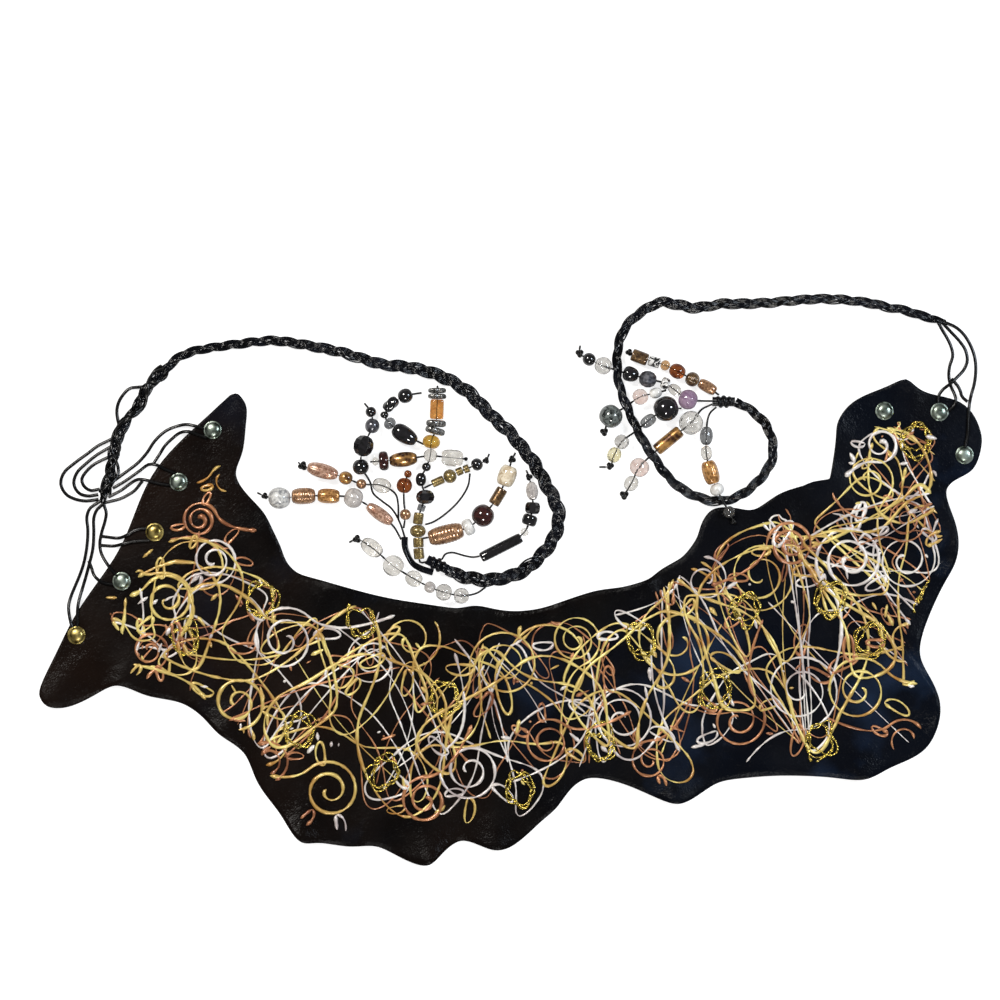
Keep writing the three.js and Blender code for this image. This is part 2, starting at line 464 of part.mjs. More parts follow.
// Bead strands, each from the tie's knot outwards. A row with a form is a bead: its middle, its length along
// the strand and its width, then what it stands on if that isn't the floor. A row with only a place is bare
// cord, at the height given or on the floor.
const STRANDS = {
  strand_left_a: {
    glass: amberGlass,
    rows: [
      ['cord', [400.2, 537.8]], ['cord', [394, 527]], ['spindle', [380, 514], 18, 8.6],
      ['round', [354, 498], 11, 12], ['barrel', [329, 496], 13, 10], ['barrel', [304, 496], 14, 11],
      ['round', [280, 498], 13, 13], ['knot', [265, 496], 4, 4.4], ['cord', [258, 493]],
    ],
  },
  strand_left_b: {
    glass: amberGlass,
    rows: [
      ['cord', [398.4, 516.8]], ['cord', [398, 503]], ['cord', [395.5, 494]], ['round', [382, 485.5], 11, 9],
      ['round', [361.5, 484], 6, 6], ['round', [346, 478], 8, 8], ['spindle', [323, 471], 20, 10],
      ['knot', [303, 466], 6, 6], ['cord', [299, 463]],
    ],
  },
  strand_left_c: {
    glass: blackGlass,
    rows: [
      ['cord', [404.6, 536.7]], ['cord', [400, 523]], ['cord', [392, 509]], ['cord', [382, 501]],
      ['cord', [373, 493]], ['cord', [370.5, 483]], ['cord', [367, 476.5]],
      ['round', [361, 467], 9, 9.8],
      ['round', [364, 446], 12.5, 13], ['round', [372.5, 426], 8.6, 8.6], ['round', [371, 412], 6, 6.4],
      ['cord', [365, 404]],
    ],
  },
  strand_left_d: {
    glass: blackGlass,
    rows: [
      ['cord', [422.2, 443.6], 5], ['drop', [405, 435], 17.5, 10.4], ['round', [390, 423.5], 6.6, 7.6],
      ['round', [384.5, 415], 4.6, 5], ['spindle', [391, 404.5], 11.5, 8], ['round', [405.5, 396], 8.6, 8.8],
      ['cord', [414, 394]], ['cord', [421, 393]],
    ],
  },
  strand_left_e: {
    glass: amberGlass,
    rows: [
      ['cord', [422.6, 456.6], 4.4], ['spindle', [403.5, 459.5], 17.5, 9.8], ['disc', [384, 461], 6.6, 11.6],
      ['round', [375.5, 461.5], 4.4, 5], ['cord', [371.3, 461.8]],
    ],
  },
  strand_left_f: {
    glass: amberGlass,
    rows: [
      ['cord', [424.5, 562.3]], ['cord', [420.5, 562.5]], ['tube', [419, 553.5], 7, 7.2],
      ['tube', [418.5, 542.5], 6.4, 7.2], ['round', [418, 531], 7.6, 9.6], ['tube', [418.5, 518.5], 7, 6.8],
      ['tube', [421.5, 507.8], 4, 5.4], ['round', [425.5, 497], 8.6, 12], ['round', [421, 479.5], 8, 6.4],
      ['round', [426.5, 467], 5, 5.4], ['round', [430.5, 455.5], 8, 8.8], ['round', [431.5, 442], 8.2, 10.6],
      ['disc', [435.5, 431], 4.2, 12.6], ['disc', [436.5, 423.6], 4.2, 12.6],
      ['tube', [437, 409.5], 12.4, 10.4], ['disc', [437.5, 396.6], 3.4, 11.6],
      ['disc', [437.5, 390.8], 3.2, 11.4], ['cord', [437.5, 387]],
    ],
  },
  strand_left_g: {
    glass: clearGlass,
    rows: [['cord', [438.3, 456.4], 4.4], ['barrel', [452.5, 458], 13.6, 11.2], ['knot', [466, 459], 3, 2.6]],
  },
  strand_left_h: {
    glass: amberGlass,
    rows: [
      ['cord', [426.3, 487], 5.4], ['tube', [438, 481.5], 8, 5.6], ['round', [450, 476.3], 8, 8.4],
      ['tube', [459.5, 471.5], 4, 5.4], ['tube', [466.5, 468.9], 3.4, 5.6], ['round', [477, 464.5], 6.6, 7.6],
      ['knot', [486, 460.5], 4, 4.4], ['cord', [489, 454.5]],
    ],
  },
  strand_left_i: {
    glass: amberGlass,
    rows: [
      ['cord', [424.9, 538], 3.8], ['barrel', [446, 534], 21, 12.4], ['disc', [468.5, 527], 6, 10],
      ['round', [483, 515.5], 12.6, 13.4], ['tube', [498, 496.5], 11, 7.8], ['barrel', [507, 476], 12.4, 11.8],
      ['knot', [512, 459.5], 5, 5], ['cord', [515, 453.5]],
    ],
  },
  strand_left_j: {
    glass: blackGlass,
    rows: [
      ['cord', [443, 557.5], 3], ['cord', [445.5, 554]], ['cord', [452, 552.5]], ['cord', [466, 556]],
      ['cord', [475, 557]], ['tube', [501, 547.5], 27, 7.2], ['round', [524.5, 532], 4.4, 5],
      ['disc', [529.5, 520], 6.6, 9], ['disc', [532.5, 508], 7, 9.6], ['round', [532, 491], 11, 7.8],
      ['knot', [529, 477], 4.4, 4.6], ['cord', [526.5, 471]],
    ],
  },
  strand_left_k: {
    glass: clearGlass,
    rows: [
      ['cord', [484, 588.3], 2.4], ['cord', [477, 593]], ['round', [461.5, 595.5], 9, 9.6],
      ['round', [444, 592], 9.4, 10.2], ['round', [430, 587], 6.4, 7], ['round', [414, 578.5], 10, 9.6],
      ['round', [393.5, 565.5], 12, 13], ['round', [372, 547.5], 14, 9.8], ['knot', [357, 539], 5, 5.4],
      ['cord', [350, 542]],
    ],
  },
  strand_left_s: {
    glass: amberGlass,
    rows: [
      ['cord', [404, 526]], ['round', [405.5, 514.5], 6.4, 6.6], ['cord', [404, 503]],
      ['round', [404.5, 485.5], 9, 9.4], ['round', [408, 474], 4.4, 4.6],
    ],
  },
  strand_right_a: {
    glass: amberGlass,
    rows: [
      ['cord', [717, 394], 3.5], ['barrel', [707, 387], 12, 7.6], ['round', [692, 379.5], 8.4, 9],
      ['round', [677, 371.5], 9.6, 9], ['round', [665, 365.5], 5.4, 6.4], ['tube', [654, 362], 7, 7.2],
      ['tube', [639.5, 357.5], 11, 8.6], ['knot', [629, 352.5], 3.6, 4.6],
    ],
  },
  strand_right_b: {
    glass: clearGlass,
    rows: [
      ['cord', [711.2, 401.2], 3.5], ['cord', [701, 401], 3], ['round', [687.5, 399.8], 11, 12],
      ['round', [674.5, 390], 8, 6.6], ['disc', [665, 383.5], 5, 7], ['round', [647.5, 379.5], 10.4, 10.8],
      ['drop', [630.5, 374.5], 9.4, 9.2], ['cord', [621, 371.8]], ['cord', [612.5, 369]], ['round', [603, 366], 9.8, 10.4],
      ['round', [589, 359.5], 7.4, 7.8], ['knot', [579.5, 353.5], 5, 5.4], ['cord', [580, 346.5]],
    ],
  },
  strand_right_c: {
    glass: clearGlass,
    rows: [
      ['cord', [664, 391], 3], ['round', [655.5, 393.2], 7.4, 6.4], ['round', [640, 397], 9, 9.6],
      ['cord', [625.5, 407]], ['round', [610.5, 416.5], 13, 14], ['knot', [604, 432], 5, 5.4],
    ],
  },
  strand_right_d: {
    glass: blackGlass,
    rows: [
      ['cord', [679, 408.6], 5], ['round', [665.5, 409], 14.4, 15], ['spindle', [648, 421], 9.6, 7.6],
      ['cord', [636, 431]], ['round', [621.5, 442], 8.4, 9], ['round', [614, 455], 9.4, 8.4],
      ['knot', [610, 466], 4.4, 5], ['cord', [600, 467]],
    ],
  },
  strand_right_e: {
    glass: amberGlass,
    rows: [
      ['cord', [710, 405.2], 2.5], ['cord', [702, 409.2]], ['round', [690.5, 423], 13.6, 14.2],
      ['tube', [668, 440.5], 18.6, 8.6], ['cord', [651.5, 455]], ['round', [639, 467.5], 10.6, 11.8],
      ['round', [631, 483.5], 9, 8.4], ['knot', [624, 495], 5.6, 6],
    ],
  },
  strand_right_f: {
    glass: clearGlass,
    rows: [
      ['cord', [714.5, 408.6], 2.5], ['cord', [710, 413]], ['cord', [707.5, 420]], ['round', [706, 436], 11, 7.8],
      ['round', [706, 453], 8.4, 6.8], ['barrel', [710, 472.5], 14, 10.6],
      ['round', [716.5, 489.5], 7, 8.6, 0], ['cord', [722, 500.5], 6.4], ['round', [728.5, 512], 6.6, 7.2, 2.3],
      ['knot', [733, 521.5], 3.6, 4, 2.3],
    ],
  },
};

// A bead gives up length where its neighbour is closer than their two halves.
function fittedBeads(rows) {
  const items = rows.map(([form, at, long = 0, wide = THREAD, floor = 0]) => ({
    form,
    long: form === 'cord' ? 0 : long,
    wide: form === 'cord' ? THREAD : wide,
    middle: plan(at, form === 'cord' ? Math.max(long, THREAD / 2) : floor + wide / 2),
  }));
  for (let i = 0; i < items.length - 1; i += 1) {
    const [here, next] = [items[i], items[i + 1]];
    const apart = Math.hypot(next.middle.x - here.middle.x, next.middle.y - here.middle.y) - GAP;
    const excess = (here.long + next.long) / 2 - apart;
    if (excess > 0) {
      const total = here.long + next.long;
      here.long -= (2 * excess * here.long) / total;
      next.long -= (2 * excess * next.long) / total;
    }
  }
  return items;
}

function strandRings(rows) {
  const items = fittedBeads(rows);
  const rings = [];
  items.forEach((item, index) => {
    const before = items[Math.max(index - 1, 0)].middle;
    const after = items[Math.min(index + 1, items.length - 1)].middle;
    const ahead = after.clone().sub(before).setZ(0).normalize();
    if (item.form === 'cord') {
      rings.push({ middle: item.middle, ahead, wide: THREAD, high: THREAD });
      return;
    }
    const form = BEAD_FORMS[item.form];
    const bareBefore = index > 0 && items[index - 1].form === 'cord';
    const bareAfter = index < items.length - 1 && items[index + 1].form === 'cord';
    const end = (side) => {
      const middle = item.middle.clone().addScaledVector(ahead, side * (item.long / 2 + GAP / 2));
      middle.z = (item.middle.z + items[index + side].middle.z) / 2;
      return { middle, ahead, wide: THREAD, high: THREAD };
    };
    if (bareBefore) rings.push(end(-1));
    for (const [along, share] of form) {
      const size = item.wide * share;
      const middle = item.middle.clone().addScaledVector(ahead, along * item.long);
      rings.push({ middle, ahead, wide: size, high: size });
    }
    if (bareAfter) rings.push(end(1));
  });
  return rings;
}

function addStrands() {
  for (const [name, { glass, rows }] of Object.entries(STRANDS)) {
    add(name, loft(strandRings(rows)), glass);
  }
}

// The knot that ends each tie, the gathered cords beside the left one, and one cord that loops back.
const KNOTS = {
  knot_left: { rows: [[447.9, 569.4], [444, 567.4], [437, 563.8], [430, 560.6], [427, 559.3]], wide: 8.6 },
  knot_right: { rows: [[734.5, 402], [731, 401.8], [723, 401.6], [716, 401.6], [712, 401.8]], wide: 8 },
};
const KNOT_SWELL = [0.5, 0.9, 1, 0.85, 0.45];
const CORDS_LEFT = {
  cords_left: {
    wide: 3.8,
    rows: [[404.8, 537.5], [404.8, 546], [407.5, 554.5], [413, 563.5], [421, 568.5], [430, 571.5]],
  },
  cord_left_back: {
    wide: THREAD,
    rows: [[425.8, 524.4, 3.6], [432, 522.5, 1.4], [442, 516.5, 0.9], [458, 502, 0.9], [468, 486, 1.2], [470, 473.6, 3]],
  },
};

function addKnots() {
  for (const [name, { rows, wide }] of Object.entries(KNOTS)) {
    const points = rows.map((place) => plan(place, wide / 2));
    const ahead = points[4].clone().sub(points[0]).normalize();
    const rings = points.map((middle, index) => {
      const size = wide * KNOT_SWELL[index];
      return { middle, ahead, wide: size, high: size };
    });
    add(name, loft(rings), lacing);
  }
  for (const [name, { rows, wide }] of Object.entries(CORDS_LEFT)) {
    const route = curveThrough(rows.map(([right, down, height = wide / 2]) => plan([right, down], height)));
    const steps = Math.max(8, Math.round(route.getLength() / LACE_STRIDE));
    const rings = [];
    for (let i = 0; i <= steps; i += 1) {
      rings.push({ middle: route.getPointAt(i / steps), ahead: route.getTangentAt(i / steps), wide, high: wide });
    }
    add(name, loft(rings), lacing);
  }
}

addPanel();
addCaps();
addLaces();
addTies();
addStrands();
addKnots();

export default sash;
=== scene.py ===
"""A painted leather hip sash with beaded ties, laid out flat and seen from straight above."""
import math
import random

import bmesh
import bpy
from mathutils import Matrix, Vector, noise
from mathutils.bvhtree import BVHTree


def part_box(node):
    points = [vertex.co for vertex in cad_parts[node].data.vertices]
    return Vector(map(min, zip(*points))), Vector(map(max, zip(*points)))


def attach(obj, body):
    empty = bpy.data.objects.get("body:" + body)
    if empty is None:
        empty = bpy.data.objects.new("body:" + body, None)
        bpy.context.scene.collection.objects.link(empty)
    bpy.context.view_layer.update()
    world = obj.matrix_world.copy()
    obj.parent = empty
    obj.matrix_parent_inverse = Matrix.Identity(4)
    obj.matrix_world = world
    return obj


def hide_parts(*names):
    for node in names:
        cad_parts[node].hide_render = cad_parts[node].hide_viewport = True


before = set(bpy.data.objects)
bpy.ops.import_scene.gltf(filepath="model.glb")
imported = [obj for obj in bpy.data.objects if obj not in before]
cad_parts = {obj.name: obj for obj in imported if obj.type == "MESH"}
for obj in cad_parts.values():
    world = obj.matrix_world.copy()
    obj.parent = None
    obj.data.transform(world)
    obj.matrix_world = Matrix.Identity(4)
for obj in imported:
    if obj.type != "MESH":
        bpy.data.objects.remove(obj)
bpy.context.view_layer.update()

# Camera, floor and lights. The sash lies flat on white paper, so the camera looks straight down at it from
# 2.2 m, and three soft lamps stand round it.
PLAN_STEP = 0.6
PLAN_RIGHT = 510
PLAN_DOWN = 621.5
MM = 0.001  # heights and sizes of things are in millimetres, and Blender's are in metres


def plan(right, down, height=0.0):
    """A place read off the layout plan, in 0.6 mm steps right and down from its top left corner."""
    return Vector(((right - PLAN_RIGHT) * PLAN_STEP, (PLAN_DOWN - down) * PLAN_STEP, height)) * MM


CAMERA_HEIGHT = 2.2
VIEW_STEPS = 1000  # the plan's width
VIEW_WIDTH = VIEW_STEPS * PLAN_STEP * MM
VIEW_MIDDLE = (VIEW_STEPS / 2, VIEW_STEPS / 2)
FLOOR_SIZE = 6
FLOOR_DROP = 0.0002  # the paper lies just under the part, so that their faces don't meet
ROOM_GLOW = 0.14
GLOW_MIRRORED, GLOW_SEEN = 0.12, 0.8
# Each lamp: name, place, size, power and tint.
LAMPS = (
    ("window_light", (-0.8, 0.9, 1.5), 0.42, 26, (1.0, 0.97, 0.92)),
    ("sky_light", (1.1, 0.4, 1.1), 0.34, 12, (0.80, 0.89, 1.0)),
    ("front_light", (0.1, -1.2, 1.3), 0.30, 11, (1.0, 0.98, 0.95)),
)

camera_data = bpy.data.cameras.new("camera")
camera_data.angle = 2 * math.atan(VIEW_WIDTH / 2 / CAMERA_HEIGHT)
camera = bpy.data.objects.new("camera", camera_data)
camera.location = plan(*VIEW_MIDDLE) + Vector((0, 0, CAMERA_HEIGHT))
bpy.context.collection.objects.link(camera)
bpy.context.scene.camera = camera

bpy.ops.mesh.primitive_plane_add(size=FLOOR_SIZE, location=(0, 0, -FLOOR_DROP))
floor = bpy.context.object
floor.name = "floor"

world = bpy.data.worlds.new("studio")
bpy.context.scene.world = world
world.use_nodes = True
world.node_tree.nodes["Background"].inputs["Color"].default_value = (1, 1, 1, 1)
world.node_tree.nodes["Background"].inputs["Strength"].default_value = ROOM_GLOW
bpy.context.scene.view_settings.view_transform = "Standard"

for name, place, size, power, tint in LAMPS:
    lamp_data = bpy.data.lights.new(name, "AREA")
    lamp_data.size = size
    lamp_data.energy = power
    lamp_data.color = tint
    lamp = bpy.data.objects.new(name, lamp_data)
    lamp.location = place
    lamp.rotation_euler = (Vector((0, 0, 0)) - Vector(place)).to_track_quat("-Z", "Y").to_euler()
    bpy.context.collection.objects.link(lamp)


def node(tree, kind, values=None, **settings):
    """A shader node. Each value is a number, a colour or another node's output socket."""
    made = tree.nodes.new(kind)
    for key, value in settings.items():
        setattr(made, key, value)
    for key, value in (values or {}).items():
        if isinstance(value, bpy.types.NodeSocket):
            tree.links.new(value, made.inputs[key])
        else:
            made.inputs[key].default_value = value
    return made


def maths(tree, operation, first, second):
    return node(tree, "ShaderNodeMath", {0: first, 1: second}, operation=operation).outputs["Value"]


def spread(tree, value, **ends):
    """A value stretched from one range to another, each from 0 to 1 where its ends are left out."""
    ends = {key.replace("_", " "): end for key, end in ends.items()}
    return node(tree, "ShaderNodeMapRange", {"Value": value, **ends}).outputs["Result"]


def surface(name, **sockets):
    made = bpy.data.materials.new(name)
    made.use_nodes = True
    shader = made.node_tree.nodes["Principled BSDF"]
    for key, value in sockets.items():
        shader.inputs[key.replace("_", " ")].default_value = value
    return made, made.node_tree, shader


def floor_paper():
    """White paper that glows for the eye and through glass, and hardly for what mirrors it."""
    made, tree, shader = surface("pale_floor", Base_Color=(0.5, 0.5, 0.5, 1), Roughness=0.9)
    shader.inputs["Emission Color"].default_value = (1, 1, 1, 1)
    rays = node(tree, "ShaderNodeLightPath")
    seen = maths(tree, "MAXIMUM", rays.outputs["Is Camera Ray"], rays.outputs["Is Transmission Ray"])
    glow = spread(tree, seen, To_Min=GLOW_MIRRORED, To_Max=GLOW_SEEN)
    tree.links.new(glow, shader.inputs["Emission Strength"])
    return made


floor.data.materials.append(floor_paper())


# The panel: one free-form crescent of 2 mm leather, near black and a little brown, with fine grain and a
# paler raw edge where it was cut, and a bluish painted sheen towards its right end. It has no seam or
# lining, and lies flat, with low soft folds.
def ramp(tree, factor, stops):
    made = node(tree, "ShaderNodeValToRGB", {"Fac": factor})
    elements = made.color_ramp.elements
    while len(elements) < len(stops):
        elements.new(0.5)
    for element, (place, colour) in zip(elements, stops):
        element.position = place
        element.color = (*colour, 1)
    return made.outputs["Color"]


def bumped(tree, shader, height, strength, distance):
    values = {"Height": height, "Strength": strength, "Distance": distance}
    tree.links.new(node(tree, "ShaderNodeBump", values).outputs["Normal"], shader.inputs["Normal"])


KINDS = {float: "NodeSocketFloat", tuple: "NodeSocketColor"}


def shader_group(name, inputs, outputs):
    """An empty shader node group with named sockets. Each input's default value gives its kind."""
    tree = bpy.data.node_groups.new(name, "ShaderNodeTree")
    for label, default in inputs.items():
        socket = tree.interface.new_socket(label, in_out="INPUT", socket_type=KINDS[type(default)])
        socket.default_value = default
    for label, kind in outputs.items():
        tree.interface.new_socket(label, in_out="OUTPUT", socket_type=kind)
    return tree, tree.nodes.new("NodeGroupInput").outputs, tree.nodes.new("NodeGroupOutput").inputs


def placed(tree, group, values):
    """A group set into a material with that material's own values."""
    made = tree.nodes.new("ShaderNodeGroup")
    made.node_tree = group
    for key, value in values.items():
        made.inputs[key].default_value = (*value, 1) if isinstance(value, tuple) else value
    return made.outputs


def blended(tree, factor, first, second):
    """A mix of two colours. Its sockets are found by number, because each kind has an A and a B."""
    mix = node(tree, "ShaderNodeMix", {"Factor": factor, 6: first, 7: second}, data_type="RGBA")
    return mix.outputs[2]


def mottle_group():
    """Two colours blended in soft patches, and a fine grain."""
    inputs = {
        "Scale": 200.0, "Distortion": 0.0, "Low": 0.35, "High": 0.65, "Grain Scale": 900.0,
        "Pale": (1.0, 1.0, 1.0, 1.0), "Deep": (0.0, 0.0, 0.0, 1.0),
    }
    outputs = {"Color": "NodeSocketColor", "Mask": "NodeSocketFloat", "Height": "NodeSocketFloat"}
    tree, given, result = shader_group("mottle", inputs, outputs)
    place = node(tree, "ShaderNodeTexCoord").outputs["Object"]
    cloud = node(
        tree, "ShaderNodeTexNoise",
        {"Vector": place, "Scale": given["Scale"], "Detail": 5.0, "Distortion": given["Distortion"]},
    )
    mask = spread(tree, cloud.outputs["Fac"], From_Min=given["Low"], From_Max=given["High"])
    grain = node(
        tree, "ShaderNodeTexNoise", {"Vector": place, "Scale": given["Grain Scale"], "Detail": 3.0}
    )
    tree.links.new(blended(tree, mask, given["Deep"], given["Pale"]), result["Color"])
    tree.links.new(mask, result["Mask"])
    tree.links.new(grain.outputs["Fac"], result["Height"])
    return tree


MOTTLE = mottle_group()


def leather_look():
    made, tree, shader = surface("black_leather", IOR=1.5, Specular_IOR_Level=0.07)
    place = node(tree, "ShaderNodeTexCoord").outputs["Object"]
    apart = node(tree, "ShaderNodeSeparateXYZ", {"Vector": place})
    broad = placed(tree, MOTTLE, {"Scale": 11.0, "Low": 0.2, "High": 0.8, "Grain Scale": 520.0})
    # Brown towards the left end is the leather's own colour. The bluish colour towards the right end is
    # painted sheen.
    along = spread(tree, apart.outputs["X"], From_Min=-0.25, From_Max=0.28)
    tone = maths(tree, "MULTIPLY", maths(tree, "ADD", broad["Mask"], along), 0.5)
    colour = ramp(
        tree, tone,
        ((0.2, (0.0085, 0.0045, 0.003)), (0.45, (0.0022, 0.0018, 0.0018)), (0.75, (0.002, 0.003, 0.006))),
    )
    # Soft bluish patches, stronger towards the right end, are painted sheen in the base colour.
    sheen_patches = placed(tree, MOTTLE, {"Scale": 13.0, "Low": 0.56, "High": 0.72})
    painted_sheen = maths(tree, "MULTIPLY", sheen_patches["Mask"], along)
    tree.links.new(blended(tree, painted_sheen, colour, (0.010, 0.020, 0.045, 1)), shader.inputs["Base Color"])
    wear = placed(tree, MOTTLE, {"Scale": 30.0, "Low": 0.3, "High": 0.7})
    tree.links.new(spread(tree, wear["Mask"], To_Min=0.2, To_Max=0.44), shader.inputs["Roughness"])
    pores = node(
        tree, "ShaderNodeTexVoronoi", {"Vector": place, "Scale": 700.0}, feature="DISTANCE_TO_EDGE"
    )
    rumple = placed(tree, MOTTLE, {"Scale": 85.0, "Distortion": 1.5, "Low": 0.0, "High": 1.0})
    grain = maths(tree, "ADD", broad["Height"], pores.outputs["Distance"])
    relief = maths(tree, "ADD", grain, maths(tree, "MULTIPLY", rumple["Mask"], 2.4))
    bumped(tree, shader, relief, 0.5, 0.0004)
    return made


def patterned(name, group, values, relief, rough=None, height="Height", **sockets):
    """A material coloured and raised by a group, and made rough by its mask where a range is given."""
    made, tree, shader = surface(name, **sockets)
    pattern = placed(tree, group, values)
    tree.links.new(pattern["Color"], shader.inputs["Base Color"])
    if rough:
        worn = spread(tree, pattern["Mask"], To_Min=rough[0], To_Max=rough[1])
        tree.links.new(worn, shader.inputs["Roughness"])
    bumped(tree, shader, pattern[height], *relief)
    return made


def raw_edge_look():
    values = {
        "Scale": 700.0, "Low": 0.3, "High": 0.7, "Pale": (0.16, 0.13, 0.11), "Deep": (0.05, 0.04, 0.035),
    }
    return patterned("cut_edge", MOTTLE, values, (0.4, 0.0002), Roughness=0.8)


# The main soft folds: from, to, height (a trough is below nought) and half width, in steps and millimetres.
FOLDS = (
    ((452, 600), (462, 668), 1.3, 7), ((486, 598), (478, 660), -0.9, 7), ((640, 580), (655, 690), 1.4, 9),
    ((668, 560), (690, 650), -0.9, 9), ((832, 482), (846, 575), 1.4, 9), ((792, 486), (812, 560), -1.0, 8),
    ((926, 640), (868, 596), 1.3, 9), ((950, 560), (880, 540), 1.0, 8), ((940, 705), (860, 680), 1.2, 9),
    ((376, 848), (368, 772), 1.2, 7), ((430, 862), (424, 780), 1.4, 8), ((302, 842), (330, 770), 1.3, 8),
    ((350, 846), (345, 790), -1.0, 7), ((462, 840), (470, 780), -1.0, 7), ((500, 850), (505, 780), 1.2, 7),
    ((556, 808), (548, 740), 1.1, 7), ((590, 778), (600, 720), -1.0, 7), ((678, 804), (668, 735), 1.3, 8),
    ((745, 778), (742, 720), -0.9, 9), ((858, 780), (842, 720), 1.1, 9), ((222, 732), (262, 690), 1.2, 8),
    ((180, 702), (212, 668), -0.9, 8), ((120, 684), (150, 652), 1.1, 8), ((60, 692), (112, 640), 0.9, 8),
    ((238, 400), (226, 470), 1.1, 7), ((208, 450), (186, 540), -0.9, 8), ((270, 520), (226, 540), 1.0, 8),
    ((340, 588), (350, 640), 1.0, 8), ((560, 604), (566, 650), 0.9, 7), ((906, 384), (898, 440), 0.9, 7),
)


def fold_height(place):
    total = 0.0
    for start, end, height, half in FOLDS:
        foot, tip = plan(*start), plan(*end)
        run = (tip - foot).xy
        share = min(max((place.xy - foot.xy).dot(run) / run.length_squared, -0.12), 1.0)
        bend = 0.08 * math.sin(share * 5) * run.length
        side = Vector((-run.y, run.x)).normalized() * bend
        reach = (place.xy - foot.xy - run * share - side).length / (half * MM * (1 + 0.6 * share))
        total += height * math.exp(-reach * reach) * max(0.0, 1 - share) ** 0.7
    return total


SWELLS = ((16, 0.9, 0.3), (45, 0.25, 4.0))  # the leather's rise and fall: closeness, height and start
SWELL_LIFT = 0.5
RIM_CREASE = 0.9
RIM_TURN = 0.9  # a sharper corner than this, in radians, is the rim, and stays crisp
TIPS = ((236, 390, 5), (904, 377, 3))  # the corners of the two ends, and how often each is eased
TIP_REACH = 7


def round_tip(mesh, right, down, passes):
    """Eases the corner's outline by drawing each point near it towards its neighbours, level by level."""
    tip = plan(right, down)
    bm = bmesh.new()
    bm.from_mesh(mesh)
    near = [vert for vert in bm.verts if (vert.co - tip).xy.length < TIP_REACH * MM]
    rim = {vert: any(abs(face.normal.z) < 0.5 for face in vert.link_faces) for vert in near}
    for _ in range(passes):
        eased = {}
        for vert in near:
            beside = [edge.other_vert(vert) for edge in vert.link_edges]
            level = [
                other for other in beside
                if (other.co - vert.co).xy.length > 0.1 * MM
                and (not rim[vert] or any(abs(face.normal.z) < 0.5 for face in other.link_faces))
            ]
            if len(level) >= 2:
                eased[vert] = sum((other.co.xy for other in level), Vector((0, 0))) / len(level)
        for vert, place in eased.items():
            vert.co.x += (place.x - vert.co.x) * 0.5
            vert.co.y += (place.y - vert.co.y) * 0.5
    bm.to_mesh(mesh)
    bm.free()


def dressed_panel():
    """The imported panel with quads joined, its rim rounded, and the soft rise and fall of laid leather."""
    bm = bmesh.new()
    bm.from_mesh(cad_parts["leather_panel"].data)
    bmesh.ops.remove_doubles(bm, verts=bm.verts, dist=1e-5)
    bmesh.ops.join_triangles(bm, faces=bm.faces, angle_face_threshold=0.6, angle_shape_threshold=1.6)
    bm.normal_update()
    crease = bm.edges.layers.float.get("crease_edge") or bm.edges.layers.float.new("crease_edge")
    for edge in bm.edges:
        if len(edge.link_faces) == 2 and edge.calc_face_angle() > RIM_TURN:
            edge[crease] = RIM_CREASE
    rough = bpy.data.meshes.new("leather_rough")
    bm.to_mesh(rough)
    bm.free()
    base = bpy.data.objects.new("leather", rough)
    bpy.context.collection.objects.link(base)
    smooth = base.modifiers.new("smooth", "SUBSURF")
    smooth.levels = smooth.render_levels = 2
    mesh = bpy.data.meshes.new_from_object(base.evaluated_get(bpy.context.evaluated_depsgraph_get()))
    base.modifiers.clear()
    base.data = mesh
    for vert in mesh.vertices:
        x, y, _ = vert.co
        swell = sum(
            noise.noise(Vector((x * close, y * close, start))) * height for close, height, start in SWELLS
        )
        vert.co.z = max(vert.co.z + (swell + SWELL_LIFT + fold_height(vert.co)) * MM, 0.0)
    for corner in TIPS:
        round_tip(mesh, *corner)
    for face in mesh.polygons:
        face.use_smooth = True
        face.material_index = 1 if abs(face.normal.z) < 0.35 else 0
    return base


panel = dressed_panel()
panel.data.materials.clear()
panel.data.materials.append(leather_look())
panel.data.materials.append(raw_edge_look())
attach(panel, "root")
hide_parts("leather_panel")
panel_tree = BVHTree.FromPolygons(
    [vert.co.copy() for vert in panel.data.vertices], [tuple(face.vertices) for face in panel.data.polygons]
)


def on_leather(place):
    """The point on top of the leather above or below a place, or None off its edge."""
    hit = panel_tree.ray_cast(Vector((place.x, place.y, 0.05)), Vector((0, 0, -1)))
    return hit[0]


# Caps: eight domed metal caps, silver-coloured or brass, spun from sheet and polished, each with a rolled
# rim. Each is pressed through the leather on its own post, and holds down the ends of its laces.
def metal_look(name, pale, deep):
    values = {
        "Scale": 260.0, "Low": 0.35, "High": 0.6, "Grain Scale": 1500.0, "Pale": pale, "Deep": deep,
    }
    return patterned(name, MOTTLE, values, (0.1, 0.0001), (0.24, 0.4), Metallic=1.0)


SILVER = metal_look("silver_cap", (0.38, 0.44, 0.38), (0.14, 0.18, 0.14))
BRASS = metal_look("brass_cap", (0.54, 0.43, 0.15), (0.24, 0.17, 0.045))
CAPS = {
    "cap_left_1": SILVER, "cap_left_2": SILVER, "cap_left_3": BRASS, "cap_left_4": SILVER,
    "cap_left_5": BRASS, "cap_right_1": SILVER, "cap_right_2": SILVER, "cap_right_3": SILVER,
}
# The cap's section: radius and height in millimetres, from the floor of the rim up to the crown.
CAP_SECTION = (
    (5.2, 0.0), (5.5, 0.15), (5.55, 0.45), (5.4, 0.75), (5.0, 0.9), (4.8, 0.8), (4.6, 1.0), (4.2, 1.55),
    (3.7, 2.0), (3.0, 2.35), (2.2, 2.6), (1.3, 2.75), (0.5, 2.8),
)
CAP_TURNS = 48


